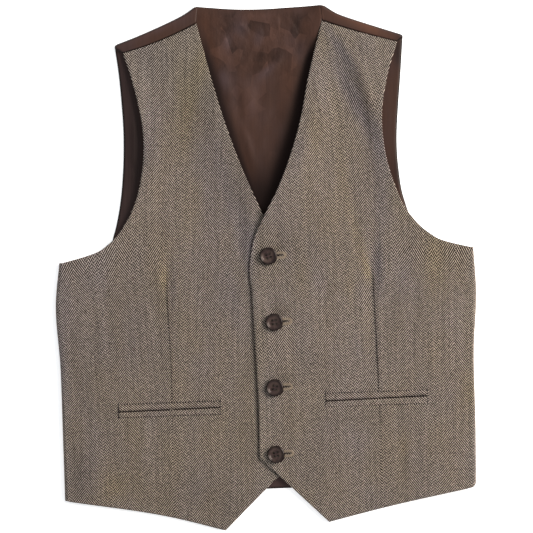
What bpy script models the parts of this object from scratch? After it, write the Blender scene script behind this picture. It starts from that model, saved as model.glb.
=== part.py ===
"""A boy's suit waistcoat, buttoned and laid flat on its back.

The tables are in millimetres. X runs to the wearer's left, Y to the neck and Z up from the
surface that the waistcoat lies on. The origin is on that surface, under the middle of the
garment.

A front is a stack of sections, read from the shoulder down. Each section crosses the front from
its outer edge (armhole, then side) past the dart and the column above the hem's point to its
inner edge (neck, then front edge). The back is a stack of rows from the shoulders down, and it
turns over each shoulder fold to meet the front at the shoulder seam.
"""

import math
from collections import namedtuple

import bmesh
import bpy
import numpy as np
from mathutils import Vector
from mathutils.bvhtree import BVHTree

MM = 0.001  # metres in a millimetre

# Cloth and seams
BACK_WALL = 1.2  # satin and its lining
FRONT_WALL = 1.8  # tweed, canvas and lining
SEAM_GAP = 0.3  # between two pieces that are sewn together or lie on each other
SIDE_HEIGHT = 6.0  # of the fold down each side
SIDE_TURN = 4.0  # of the front that lies under itself, from the side fold to the side seam
SHOULDER_HEIGHT = 5.0  # of the fold over each shoulder
DART_DEPTH = 0.5  # the seam's groove
DART_HALF_WIDTH = 1.5
DART_FADE = 25.0  # over which the groove deepens from the dart's tip

# How finely the cloth is divided
ROW_STEP = 13.0
CELLS_OUTER = 5  # between the outer edge and the dart
CELLS_MIDDLE = 4  # between the dart and the point's column
CELLS_INNER = 5  # between the point's column and the inner edge
HEM_ROWS = (6.0, 2.5, 0.8)  # extra rows above the hem, for a rounded corner
FOLD_STEPS = 6  # of each half-round
SHOULDER_CELLS = 8
NECK_CELLS = 9
STRIP_CELLS = 2

Section = namedtuple("Section", "name outer_x outer_y dart_x point_x inner_x inner_y")
Level = namedtuple("Level", "name outer dart point inner")
Crease = namedtuple("Crease", "path half_width depth")
Front = namedtuple(
    "Front", "side seam_dip sections levels hem_dart_y hem_point_y corner dart_tip_y creases"
)

# side is -1 where the outer edge is at -X. seam_dip is how far the shoulder seam sags below the
# straight line between its ends, and corner is the radius at the foot of the side.
# A level is the height of the cloth's face above the surface, at each named section.
FRONT_RIGHT = Front(
    side=-1,
    seam_dip=2.2,
    sections=[
        Section("shoulder", -122.5, 183.5, -102.0, -81.5, -59.5, 209.0),
        Section("upper chest", -114.0, 157.5, -91.0, -67.5, -46.9, 162.5),
        Section("chest", -105.5, 117.5, -82.5, -58.5, -33.6, 120.0),
        Section("mid armhole", -106.0, 82.0, -78.0, -49.0, -19.2, 82.0),
        Section("low armhole", -111.5, 57.0, -80.5, -44.5, -8.4, 58.0),
        Section("armhole turn", -119.5, 39.0, -83.0, -42.0, 0.7, 39.0),
        Section("armhole foot", -133.5, 21.0, -85.5, -40.5, 10.0, 21.0),
        Section("armhole flare", -148.5, 11.5, -86.0, -39.5, 14.0, 11.5),
        Section("underarm", -177.0, 4.0, -86.0, -38.5, 16.5, 4.0),
        Section("waist", -180.0, -31.0, -84.5, -37.5, 19.5, -31.0),
        Section("high hip", -176.0, -86.0, -81.5, -36.5, 22.5, -81.0),
        Section("hip", -174.0, -141.0, -80.0, -35.5, 24.5, -123.5),
        Section("hem", -172.0, -199.7, -78.0, -34.5, 26.0, -163.0),
    ],
    levels=[
        Level("shoulder", 5.0, 5.0, 5.0, 5.0),
        Level("chest", 4.8, 4.2, 4.4, 5.0),
        Level("low armhole", 5.0, 4.2, 4.0, 3.8),
        Level("underarm", 6.0, 4.4, 4.0, 3.4),
        Level("high hip", 6.0, 4.4, 4.0, 3.4),
        Level("hem", 6.0, 4.2, 4.0, 3.4),
    ],
    hem_dart_y=-214.3,
    hem_point_y=-225.0,
    corner=1.0,
    dart_tip_y=5.0,
    creases=[],
)

FRONT_LEFT = Front(
    side=1,
    seam_dip=0.8,
    sections=[
        Section("shoulder", 112.0, 193.5, 90.0, 68.5, 47.5, 211.5),
        Section("upper chest", 103.0, 161.0, 81.5, 59.0, 36.2, 164.5),
        Section("chest", 99.1, 128.5, 78.0, 54.0, 29.3, 127.5),
        Section("mid armhole", 102.6, 96.0, 78.0, 49.5, 20.5, 96.0),
        Section("low armhole", 110.3, 71.0, 81.5, 47.0, 10.2, 68.5),
        Section("armhole turn", 121.5, 48.0, 85.5, 46.5, -1.0, 46.0),
        Section("armhole foot", 139.5, 30.0, 88.5, 46.5, -8.5, 30.0),
        Section("armhole flare", 151.5, 23.5, 89.5, 47.0, -11.5, 20.5),
        Section("underarm", 177.5, 18.0, 90.5, 47.5, -13.5, 9.0),
        Section("waist", 180.0, -20.0, 92.0, 49.0, -12.0, -24.0),
        Section("high hip", 178.0, -69.0, 94.5, 50.5, -9.5, -67.0),
        Section("hip", 179.5, -135.0, 97.5, 52.5, -6.5, -117.5),
        Section("hem", 180.0, -187.2, 100.0, 54.0, -5.5, -162.5),
    ],
    levels=[
        Level("shoulder", 5.0, 5.0, 5.0, 5.0),
        Level("chest", 5.4, 5.2, 5.6, 6.6),
        Level("low armhole", 5.6, 5.2, 5.6, 6.4),
        Level("underarm", 6.0, 5.2, 5.6, 6.0),
        Level("high hip", 6.0, 5.2, 5.6, 6.0),
        Level("hem", 6.0, 5.0, 5.4, 6.0),
    ],
    hem_dart_y=-205.5,
    hem_point_y=-217.5,
    corner=5.0,
    dart_tip_y=5.0,
    creases=[
        Crease([(56.0, 202.0), (73.5, 165.0), (86.5, 131.0), (99.0, 92.0)], 11.0, 1.2),
    ],
)

# The back's armholes lie a little outside the fronts' until the fronts cover them.
ArmholeRow = namedtuple("ArmholeRow", "name right_x right_y left_x left_y")
BACK_ARMHOLES = [
    ArmholeRow("shoulder blade", -126.0, 164.0, 115.0, 164.0),
    ArmholeRow("upper back", -124.0, 143.5, 113.5, 143.5),
    ArmholeRow("chest", -122.0, 109.0, 112.0, 108.0),
    ArmholeRow("mid armhole", -122.5, 81.5, 113.5, 85.5),
    ArmholeRow("low armhole", -126.0, 47.5, 118.5, 58.5),
    ArmholeRow("armhole turn", -130.5, 27.5, 126.0, 41.0),
    ArmholeRow("armhole foot", -135.0, 16.0, 138.0, 28.0),
    ArmholeRow("armhole flare", -147.0, 8.0, 153.0, 19.5),
]
SideRow = namedtuple("SideRow", "name right_y left_y")
BACK_SIDES = [
    SideRow("underarm", 1.5, 15.0),
    SideRow("waist", -31.0, -22.0),
    SideRow("hip", -110.0, -105.0),
    SideRow("hem", -199.5, -186.0),
]
BACK_HEM_RISE = 3.5  # of the hem's middle above the line between its ends

# Each shoulder fold and seam, from the armhole's tip to the neck.
Shoulder = namedtuple("Shoulder", "front fold lie")
SHOULDER_RIGHT = Shoulder(
    FRONT_RIGHT,
    [(-129.5, 190.5), (-108.0, 199.0), (-83.5, 210.0), (-70.0, 217.0), (-61.0, 223.5)],
    115.0,
)
SHOULDER_LEFT = Shoulder(
    FRONT_LEFT,
    [(117.0, 199.5), (94.5, 206.5), (74.0, 213.0), (60.5, 218.0), (49.0, 225.0)],
    73.0,
)
TIP_LIE = 90.0  # degrees: which way each fold faces at the armhole's tip
TIP_SHARE = 0.25  # of the fold over which it turns to the shoulder's own lie
NECK_SHARE = 0.12
NECK_CURVE = [(-29.0, 221.5), (-5.0, 221.5), (19.0, 223.0)]

Pocket = namedtuple(
    "Pocket", "name front start_x end_x top_start top_end mouth_start mouth_end foot_start foot_end"
)
POCKETS = [
    Pocket("right", FRONT_RIGHT, -126.0, -39.0, -117.0, -114.0, -123.5, -119.5, -128.5, -125.5),
    Pocket("left", FRONT_LEFT, 51.0, 138.0, -107.5, -104.5, -114.0, -109.5, -119.0, -116.0),
]
MOUTH_HALF_GAP = 0.4
LIP_THICKNESS = 1.0
LIP_EDGE_DROP = 0.35  # of each long edge below the lip's middle
LIP_CELLS = 12

BUTTON_PLACES = [(2.0, 10.0), (7.0, -46.5), (7.5, -102.5), (8.5, -159.5)]
BUTTON_RADIUS = 7.5
ProfilePoint = namedtuple("ProfilePoint", "radius height")
BUTTON_PROFILE = [
    ProfilePoint(0.0, 0.0),
    ProfilePoint(5.4, 0.0),
    ProfilePoint(6.9, 0.6),
    ProfilePoint(BUTTON_RADIUS, 1.6),
    ProfilePoint(7.2, 2.7),
    ProfilePoint(6.5, 3.1),
    ProfilePoint(5.6, 2.9),
    ProfilePoint(4.8, 2.2),
    ProfilePoint(0.0, 1.8),
]
BUTTON_STEPS = 24
THREAD_HOLE_RADIUS = 0.85
THREAD_HOLE_OFFSET = 1.6  # of each hole from the middle, along X and along Y
THREAD_HOLE_STEPS = 8


def ease(share):
    """0 below 0, 1 above 1 and a smooth step between."""
    share = np.clip(share, 0.0, 1.0)
    return share * share * (3.0 - 2.0 * share)


def curve(knots, values, at, corners=()):
    """The values at given places on a smooth curve through them, which turns sharply at corners."""
    knots = np.asarray(knots, float)
    values = np.asarray(values, float).reshape(len(knots), -1)
    gap = np.diff(knots)[:, None]
    slope = np.diff(values, axis=0) / gap
    into = np.vstack([slope[:1], slope])
    out_of = np.vstack([slope, slope[-1:]])
    before = np.vstack([gap[:1], gap])
    after = np.vstack([gap, gap[-1:]])
    mean = (into * after + out_of * before) / (before + after)
    sharp = np.isin(np.arange(len(knots)), corners)[:, None]
    into = np.where(sharp, into, mean)
    out_of = np.where(sharp, out_of, mean)
    at = np.atleast_1d(np.asarray(at, float))
    left = np.clip(np.searchsorted(knots, at, side="right") - 1, 0, len(knots) - 2)
    span = gap[left]
    share = (at[:, None] - knots[left][:, None]) / span
    found = (
        (2 * share**3 - 3 * share**2 + 1) * values[left]
        + (share**3 - 2 * share**2 + share) * span * out_of[left]
        + (3 * share**2 - 2 * share**3) * values[left + 1]
        + (share**3 - share**2) * span * into[left + 1]
    )
    return found[:, 0] if found.shape[1] == 1 else found


def crease_height(crease, x, y):
    """How far a crease lifts the cloth at (x, y): a trough along its path, fading at both ends."""
    path = np.array(crease.path)
    lengths = np.hypot(*np.diff(path, axis=0).T)
    reach = np.concatenate([[0.0], np.cumsum(lengths)])
    nearest = np.full(np.shape(x), np.inf)
    along = np.zeros(np.shape(x))
    for start, end, length, before in zip(path[:-1], path[1:], lengths, reach):
        step = (end - start) / length
        share = np.clip((x - start[0]) * step[0] + (y - start[1]) * step[1], 0, length)
        off = np.hypot(x - start[0] - share * step[0], y - start[1] - share * step[1])
        along = np.where(off < nearest, before + share, along)
        nearest = np.minimum(off, nearest)
    across = np.clip(1.0 - (nearest / crease.half_width) ** 2, 0, 1) ** 2
    return -crease.depth * across * np.sin(np.pi * along / reach[-1])


def section_places(front):
    """Each section's place down the front: the mean height of its two ends, counted downwards."""
    return np.array([-(s.outer_y + s.inner_y) / 2 for s in front.sections])


def place_of(front, name):
    names = [s.name for s in front.sections]
    return section_places(front)[names.index(name)]


def rows_down(places, ends, step):
    """Places with enough rows between the sections that no edge is divided coarser than step."""
    rows = []
    for k in range(len(places) - 1):
        longest = max(math.dist(edge[k], edge[k + 1]) for edge in ends)
        count = max(1, round(longest / step))
        rows += list(np.linspace(places[k], places[k + 1], count, endpoint=False))
    return rows + [places[-1]]


def front_rows(front):
    outer = [(s.outer_x, s.outer_y) for s in front.sections]
    inner = [(s.inner_x, s.inner_y) for s in front.sections]
    rows = rows_down(section_places(front), (outer, inner), ROW_STEP)
    hem = rows[-1]
    rows = [row for row in rows[:-1] if row < hem - HEM_ROWS[0] - 1]
    return np.array(rows + [hem - above for above in HEM_ROWS] + [hem])


def outer_edge(front, rows):
    """(x, y) of the front's outer edge, at the middle of the side fold below the underarm."""
    points = [(s.outer_x, s.outer_y) for s in front.sections]
    names = [s.name for s in front.sections]
    edge = curve(section_places(front), points, rows, [names.index("underarm")])
    above_hem = edge[:, 1] - edge[-1, 1]
    into_corner = np.clip(front.corner - above_hem, 0, front.corner)
    edge[:, 0] -= front.side * (front.corner - np.sqrt(front.corner**2 - into_corner**2))
    return edge


def front_columns():
    """Each column of a front as (station, shift along X): stations 0 to 3 are a section's points."""
    outer = [(k / CELLS_OUTER, 0.0) for k in range(CELLS_OUTER)]
    dart = [(1.0, -DART_HALF_WIDTH), (1.0, 0.0), (1.0, DART_HALF_WIDTH)]
    middle = [(1.0 + k / CELLS_MIDDLE, 0.0) for k in range(1, CELLS_MIDDLE)]
    inner = [(2.0 + k / CELLS_INNER, 0.0) for k in range(CELLS_INNER + 1)]
    return outer + dart + middle + inner


def front_grid(front):
    """The face of a front's cloth as an array of points, rows by columns, from its outer edge."""
    rows = front_rows(front)
    columns = front_columns()
    places = section_places(front)
    outer = outer_edge(front, rows)
    fold = ease((rows - place_of(front, "armhole flare")) / place_gap(front))
    outer[:, 0] -= front.side * fold * SIDE_HEIGHT / 2
    inner = curve(places, [(s.inner_x, s.inner_y) for s in front.sections], rows)
    dart_x = curve(places, [s.dart_x for s in front.sections], rows)
    point_x = curve(places, [s.point_x for s in front.sections], rows)
    stations = np.stack([outer[:, 0], dart_x, point_x, inner[:, 0]], axis=1)
    x = np.empty((len(rows), len(columns)))
    for c, (station, shift) in enumerate(columns):
        k = min(int(station), 2)
        x[:, c] = stations[:, k] + (station - k) * (stations[:, k + 1] - stations[:, k])
        x[:, c] -= front.side * shift
    share = (x - outer[:, :1]) / (inner[:, :1] - outer[:, :1])
    y = outer[:, 1:] + share * (inner[:, 1:] - outer[:, 1:])
    yoke = 1 - ease((rows - rows[0]) / (places[1] - rows[0]))
    y -= yoke[:, None] * seam_sag(front, share)
    # The hem leaves the straight section: it sinks past the dart to the point, then rises straight.
    foot = front.sections[-1]
    hem_x = np.array([foot.outer_x, foot.dart_x, foot.point_x, foot.inner_x])
    hem_y = [foot.outer_y, front.hem_dart_y, front.hem_point_y, foot.inner_y]
    hem = curve(front.side * -hem_x, hem_y, front.side * -x.ravel(), corners=[2])
    straight = outer[-1, 1] + share * (inner[-1, 1] - outer[-1, 1])
    high_hip = place_of(front, "high hip")
    dip = np.clip((rows - high_hip) / (rows[-1] - high_hip), 0, 1) ** 2
    y += dip[:, None] * (hem.reshape(x.shape) - straight)
    z = front_heights(front, rows, columns)
    for crease in front.creases:
        z += crease_height(crease, x, y)
    in_dart = np.array([station == 1.0 and shift == 0.0 for station, shift in columns])
    z -= in_dart * DART_DEPTH * ease((front.dart_tip_y - y) / DART_FADE)
    return np.stack([x, y, z], axis=2)


def place_gap(front):
    """How far down the armhole runs out into the side fold."""
    return place_of(front, "underarm") - place_of(front, "armhole flare")


def seam_sag(front, share):
    """How far the shoulder seam lies below the line between its ends, at a share of its length."""
    return front.seam_dip * np.sin(np.pi * np.clip(share, 0, 1))


def front_heights(front, rows, columns):
    named = [place_of(front, level.name) for level in front.levels]
    by_row = curve(named, [level[1:] for level in front.levels], rows)
    at = [station for station, _ in columns]
    return np.array([curve([0, 1, 2, 3], row, at) for row in by_row])


def cloth_object(name, points, faces, wall, material):
    """A wall of cloth whose outer face is the given sheet, with its thickness on the inside."""
    mesh = bpy.data.meshes.new(name)
    mesh.from_pydata([Vector(p) * MM for p in points], [], faces)
    mesh.materials.append(material)
    cloth = bpy.data.objects.new(name, mesh)
    bpy.context.scene.collection.objects.link(cloth)
    solidify = cloth.modifiers.new("wall", "SOLIDIFY")
    solidify.thickness = wall * MM
    solidify.offset = -1.0
    solidify.use_even_offset = True
    solidify.use_quality_normals = True
    mesh.shade_smooth()
    return cloth


def sheet_faces(index, flip):
    """Quads between neighbouring rows of point numbers. A missing point is -1."""
    faces = []
    for upper, lower in zip(index[:-1], index[1:]):
        for c in range(len(upper) - 1):
            quad = [upper[c], lower[c], lower[c + 1], upper[c + 1]]
            if min(quad) >= 0:
                faces.append(quad[::-1] if flip else quad)
    return faces


def side_fold(front, grid, rows):
    """The half-round down the side and the turned-under strip, outermost column last."""
    radius = SIDE_HEIGHT / 2
    start = grid[rows, 0]
    columns = []
    for k in range(1, FOLD_STEPS + 1):
        angle = math.pi * k / FOLD_STEPS
        column = start.copy()
        column[:, 0] += front.side * radius * math.sin(angle)
        column[:, 2] = radius + radius * math.cos(angle)
        columns.append(column)
    turned = columns[-1].copy()
    turned[:, 0] -= front.side * SIDE_TURN
    columns.append(turned)
    return columns


def build_front(name, front, material):
    grid = front_grid(front)
    rows = front_rows(front)
    folded = np.flatnonzero(rows >= place_of(front, "underarm") - 0.01)
    fold = side_fold(front, grid, folded)
    points = list(grid.reshape(-1, 3))
    index = np.arange(grid.shape[0] * grid.shape[1]).reshape(grid.shape[:2])
    for column in fold:
        numbers = np.full((len(rows), 1), -1)
        numbers[folded, 0] = len(points) + np.arange(len(folded))
        index = np.hstack([numbers, index])
        points += list(column)
    faces = sheet_faces(index, flip=front.side > 0)
    return cloth_object(name, points, faces, FRONT_WALL, material)


def side_seam_x(front, y):
    """X of the back's side edge at height y, beside the edge of the turned-under front."""
    rows = np.linspace(place_of(front, "underarm"), section_places(front)[-1], 200)
    edge = outer_edge(front, rows)
    inset = SIDE_HEIGHT / 2 + SIDE_TURN + SEAM_GAP
    return float(np.interp(-y, -edge[:, 1], edge[:, 0])) - front.side * inset


def shoulder_lines(shoulder):
    """Per column from the armhole's tip to the neck: fold point, direction it faces, seam point."""
    share = np.linspace(0, 1, SHOULDER_CELLS + 1)
    fold = curve(np.linspace(0, 1, len(shoulder.fold)), shoulder.fold, share)
    side = shoulder.front.side
    neck_lie = 90.0 - 90.0 * side
    lie = TIP_LIE + (shoulder.lie - TIP_LIE) * ease(share / TIP_SHARE)
    lie += (neck_lie - shoulder.lie) * ease((share - 1 + NECK_SHARE) / NECK_SHARE)
    facing = np.stack([np.cos(np.radians(lie)), np.sin(np.radians(lie))], axis=1)
    section = shoulder.front.sections[0]
    outer = np.array([section.outer_x, section.outer_y])
    inner = np.array([section.inner_x, section.inner_y])
    along = (inner - outer) / np.linalg.norm(inner - outer)
    across = np.array([-along[1], along[0]]) * -side
    seam = outer + share[:, None] * (inner - outer) + SEAM_GAP * across
    seam[:, 1] -= seam_sag(shoulder.front, share)
    return fold, facing, seam


def shoulder_fold(shoulder):
    """Rows of points from the half-round's foot over the fold and down to the shoulder seam."""
    radius = SHOULDER_HEIGHT / 2
    fold, facing, seam = shoulder_lines(shoulder)
    foot = fold - radius * facing
    rows = []
    for k in range(FOLD_STEPS + 1):
        angle = math.pi * k / FOLD_STEPS
        flat = foot + radius * math.sin(angle) * facing
        height = np.full((len(flat), 1), radius - radius * math.cos(angle))
        rows.append(np.hstack([flat, height]))
    for k in range(1, STRIP_CELLS + 1):
        flat = foot + (seam - foot) * k / STRIP_CELLS
        rows.append(np.hstack([flat, np.full((len(flat), 1), SHOULDER_HEIGHT)]))
    return rows


def back_rows():
    """(right x, right y, left x, left y) down the back, from just below the shoulders."""
    rows = [row[1:] for row in BACK_ARMHOLES]
    for side in BACK_SIDES:
        right_x = side_seam_x(FRONT_RIGHT, side.right_y)
        left_x = side_seam_x(FRONT_LEFT, side.left_y)
        rows.append((right_x, side.right_y, left_x, side.left_y))
    return np.array(rows)


def back_grid(top):
    """The back's flat face: its top row is given, and its columns run straight to the hem."""
    ends = np.vstack([[*top[0, :2], *top[-1, :2]], back_rows()])
    places = -(ends[:, 1] + ends[:, 3]) / 2
    underarm = 1 + len(BACK_ARMHOLES)
    rows = np.array(rows_down(places, (ends[:, :2], ends[:, 2:]), ROW_STEP))
    edges = curve(places, ends, rows, corners=[underarm])
    below_arm = rows >= places[underarm]
    edges[below_arm, 0] = [side_seam_x(FRONT_RIGHT, y) for y in edges[below_arm, 1]]
    edges[below_arm, 2] = [side_seam_x(FRONT_LEFT, y) for y in edges[below_arm, 3]]
    share = (top[:, 0] - top[0, 0]) / (top[-1, 0] - top[0, 0])
    right, left = edges[:, None, :2], edges[:, None, 2:]
    grid = right + share[None, :, None] * (left - right)
    yoke = 1 - ease((rows - places[0]) / (places[2] - places[0]))
    grid += yoke[:, None, None] * (top[:, :2] - grid[0])
    hem = np.clip((rows - places[-2]) / (places[-1] - places[-2]), 0, 1)
    grid[:, :, 1] += hem[:, None] * BACK_HEM_RISE * np.sin(np.pi * share)
    return np.dstack([grid, np.zeros(grid.shape[:2])])


def neck_row(start, end):
    """Points of the back neck between the two shoulder folds, without its ends."""
    corners = [tuple(start[:2]), *NECK_CURVE, tuple(end[:2])]
    share = np.linspace(0, 1, NECK_CELLS + 1)[1:-1]
    flat = curve(np.linspace(0, 1, len(corners)), corners, share)
    return np.hstack([flat, np.zeros((len(flat), 1))])


def build_back(material):
    right = shoulder_fold(SHOULDER_RIGHT)
    left = [row[::-1] for row in shoulder_fold(SHOULDER_LEFT)]
    top = np.vstack([right[0], neck_row(right[0][-1], left[0][0]), left[0]])
    grid = back_grid(top)
    points = list(grid.reshape(-1, 3))
    index = np.arange(len(points)).reshape(grid.shape[:2])
    for r in range(1, len(right)):
        numbers = np.full((1, len(top)), -1)
        for row, first in ((right[r], 0), (left[r], len(top) - SHOULDER_CELLS - 1)):
            numbers[0, first : first + len(row)] = len(points) + np.arange(len(row))
            points += list(row)
        index = np.vstack([numbers, index])
    return cloth_object("back", points, sheet_faces(index, flip=True), BACK_WALL, material)


def face_above(cloth):
    """A function that gives the height of the cloth's face at (x, y)."""
    mesh = cloth.data
    tree = BVHTree.FromPolygons([v.co for v in mesh.vertices], [p.vertices for p in mesh.polygons])
    down = Vector((0, 0, -1))

    def height(x, y):
        found = tree.ray_cast(Vector((x * MM, y * MM, 1.0)), down)[0]
        return found.z / MM

    return height


def build_lip(name, front_cloth, xs, upper, lower, material):
    """A pocket jet: a narrow padded strip that follows the face of the front."""
    height = face_above(front_cloth)
    bm = bmesh.new()
    rings = []
    for x, top_y, bottom_y in zip(xs, upper, lower):
        middle_y = (top_y + bottom_y) / 2
        around = [height(x + shift, middle_y) for shift in (-DART_HALF_WIDTH, 0, DART_HALF_WIDTH)]
        foot = max(around) + SEAM_GAP
        shape = [
            (bottom_y, foot),
            (top_y, foot),
            (top_y, foot + LIP_THICKNESS - LIP_EDGE_DROP),
            (middle_y, foot + LIP_THICKNESS),
            (bottom_y, foot + LIP_THICKNESS - LIP_EDGE_DROP),
        ]
        rings.append([bm.verts.new((x * MM, y * MM, z * MM)) for y, z in shape])
    for ring, after in zip(rings[:-1], rings[1:]):
        for k in range(len(ring)):
            n = (k + 1) % len(ring)
            bm.faces.new((ring[k], ring[n], after[n], after[k]))
    bm.faces.new(rings[0][::-1])
    bm.faces.new(rings[-1])
    return mesh_object(name, bm, material)


def build_pocket(pocket, front_cloth, material):
    share = np.linspace(0, 1, LIP_CELLS + 1)
    xs = pocket.start_x + share * (pocket.end_x - pocket.start_x)
    top = pocket.top_start + share * (pocket.top_end - pocket.top_start)
    mouth = pocket.mouth_start + share * (pocket.mouth_end - pocket.mouth_start)
    foot = pocket.foot_start + share * (pocket.foot_end - pocket.foot_start)
    upper_name = f"pocket_{pocket.name}_upper_lip"
    lower_name = f"pocket_{pocket.name}_lower_lip"
    build_lip(upper_name, front_cloth, xs, top, mouth + MOUTH_HALF_GAP, material)
    build_lip(lower_name, front_cloth, xs, mouth - MOUTH_HALF_GAP, foot, material)


def mesh_object(name, bm, material):
    bmesh.ops.recalc_face_normals(bm, faces=bm.faces)
    mesh = bpy.data.meshes.new(name)
    bm.to_mesh(mesh)
    bm.free()
    mesh.materials.append(material)
    found = bpy.data.objects.new(name, mesh)
    bpy.context.scene.collection.objects.link(found)
    return found


def button_mesh(material):
    """A turned button with four thread holes, its underside at Z 0."""
    bm = bmesh.new()
    profile = [bm.verts.new((p.radius * MM, 0, p.height * MM)) for p in BUTTON_PROFILE]
    edges = [bm.edges.new(pair) for pair in zip(profile[:-1], profile[1:])]
    bmesh.ops.spin(
        bm,
        geom=profile + edges,
        cent=(0, 0, 0),
        axis=(0, 0, 1),
        angle=math.tau,
        steps=BUTTON_STEPS,
        use_merge=True,
    )
    bmesh.ops.remove_doubles(bm, verts=bm.verts, dist=0.001 * MM)
    blank = mesh_object("button_blank", bm, material)
    cutter_bm = bmesh.new()
    for side_x in (-1, 1):
        for side_y in (-1, 1):
            made = bmesh.ops.create_cone(
                cutter_bm,
                cap_ends=True,
                segments=THREAD_HOLE_STEPS,
                radius1=THREAD_HOLE_RADIUS * MM,
                radius2=THREAD_HOLE_RADIUS * MM,
                depth=4 * BUTTON_RADIUS * MM,
            )
            shift = (side_x * THREAD_HOLE_OFFSET * MM, side_y * THREAD_HOLE_OFFSET * MM, 0)
            bmesh.ops.translate(cutter_bm, verts=made["verts"], vec=shift)
    cutter = mesh_object("thread_hole_cutter", cutter_bm, material)
    cut = blank.modifiers.new("thread holes", "BOOLEAN")
    cut.operation = "DIFFERENCE"
    cut.object = cutter
    bpy.context.view_layer.update()
    made = blank.evaluated_get(bpy.context.evaluated_depsgraph_get())
    mesh = bpy.data.meshes.new_from_object(made)
    mesh.name = "button"
    bpy.data.objects.remove(blank)
    bpy.data.objects.remove(cutter)
    mesh.shade_smooth()
    mesh.set_sharp_from_angle(angle=math.radians(40))
    return mesh


def build_buttons(front_cloth, material):
    height = face_above(front_cloth)
    mesh = button_mesh(material)
    around = [math.tau * k / BUTTON_STEPS for k in range(BUTTON_STEPS)]
    for number, (x, y) in enumerate(BUTTON_PLACES, start=1):
        rim = [(x + BUTTON_RADIUS * math.cos(a), y + BUTTON_RADIUS * math.sin(a)) for a in around]
        seat = max(height(*place) for place in [(x, y), *rim])
        button = bpy.data.objects.new(f"button_{number}", mesh)
        button.location = (x * MM, y * MM, (seat + SEAM_GAP) * MM)
        bpy.context.scene.collection.objects.link(button)


def finish(name, colour, roughness, sheen=0.0):
    material = bpy.data.materials.new(name)
    material.use_nodes = True
    shader = material.node_tree.nodes["Principled BSDF"]
    shader.inputs["Base Color"].default_value = (*colour, 1.0)
    shader.inputs["Roughness"].default_value = roughness
    shader.inputs["Metallic"].default_value = 0.0
    shader.inputs["Sheen Weight"].default_value = sheen
    material.diffuse_color = (*colour, 1.0)
    return material


def clear_scene():
    for found in list(bpy.data.objects):
        bpy.data.objects.remove(found)


def main():
    clear_scene()
    tweed = finish("herringbone tweed", (0.18, 0.145, 0.12), 0.9, sheen=0.2)
    satin = finish("brown satin", (0.062, 0.036, 0.027), 0.4)
    horn = finish("dark brown button", (0.03, 0.018, 0.014), 0.3)
    build_back(satin)
    right = build_front("front_right", FRONT_RIGHT, tweed)
    left = build_front("front_left", FRONT_LEFT, tweed)
    for pocket, cloth in zip(POCKETS, (right, left)):
        build_pocket(pocket, cloth, tweed)
    build_buttons(left, horn)


main()
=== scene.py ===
"""The looks of a boy's herringbone waistcoat, buttoned and laid flat on its back.

It is laid out as a Blender add-on: the property groups hold the sizes and colours that a user
would change, each operator builds one piece or one group of like pieces, and the panel lists
them. The tables are in millimetres, X to the wearer's left, Y to the neck and Z up from the
surface that the waistcoat lies on. They repeat the construction's own tables, at a finer spacing.
"""

import math
from collections import namedtuple

import bmesh
import bpy
import numpy as np
from mathutils import Matrix, Vector
from mathutils.bvhtree import BVHTree


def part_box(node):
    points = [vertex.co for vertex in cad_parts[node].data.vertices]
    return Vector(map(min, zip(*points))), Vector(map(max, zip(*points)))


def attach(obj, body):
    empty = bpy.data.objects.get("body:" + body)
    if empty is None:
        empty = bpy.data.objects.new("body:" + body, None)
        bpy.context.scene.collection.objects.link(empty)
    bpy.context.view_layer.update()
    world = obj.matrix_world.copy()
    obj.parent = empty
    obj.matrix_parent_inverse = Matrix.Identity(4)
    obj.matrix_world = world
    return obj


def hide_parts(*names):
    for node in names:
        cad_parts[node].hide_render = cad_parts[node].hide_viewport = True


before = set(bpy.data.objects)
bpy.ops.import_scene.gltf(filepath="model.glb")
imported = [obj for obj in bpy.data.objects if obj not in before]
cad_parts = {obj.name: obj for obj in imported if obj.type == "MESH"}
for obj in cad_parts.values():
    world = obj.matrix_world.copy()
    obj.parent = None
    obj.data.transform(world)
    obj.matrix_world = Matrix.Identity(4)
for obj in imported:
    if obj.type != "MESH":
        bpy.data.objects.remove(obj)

bl_info = {
    "name": "Herringbone waistcoat",
    "version": (1, 0, 0),
    "blender": (4, 5, 0),
    "location": "3D View > Sidebar > Waistcoat",
    "description": "Builds a boy's herringbone waistcoat, laid flat, with its cloth and sewing",
    "category": "Add Mesh",
}

MM = 0.001  # metres in a millimetre
BODY = "root"


def rows_of(kind, *rows):
    """A table's rows as named tuples."""
    return [kind(*row) for row in rows]


# --- The garment's own sizes ---

BACK_WALL = 1.2
FRONT_WALL = 1.8
SEAM_GAP = 0.3
SIDE_HEIGHT = 6
SIDE_TURN = 4
SHOULDER_HEIGHT = 5
DART_FADE = 25

Section = namedtuple("Section", "name outer_x outer_y dart_x point_x inner_x inner_y")
Level = namedtuple("Level", "name outer dart point inner")
Crease = namedtuple("Crease", "path half_width depth")
Lift = namedtuple("Lift", "y amount")
GrainRow = namedtuple("GrainRow", "y inner_x outer_x")
Front = namedtuple(
    "Front",
    "side seam_dip sections levels hem_dart_y hem_point_y corner dart_tip_y creases"
    " neck_lift armhole_lift grain",
)

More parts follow.
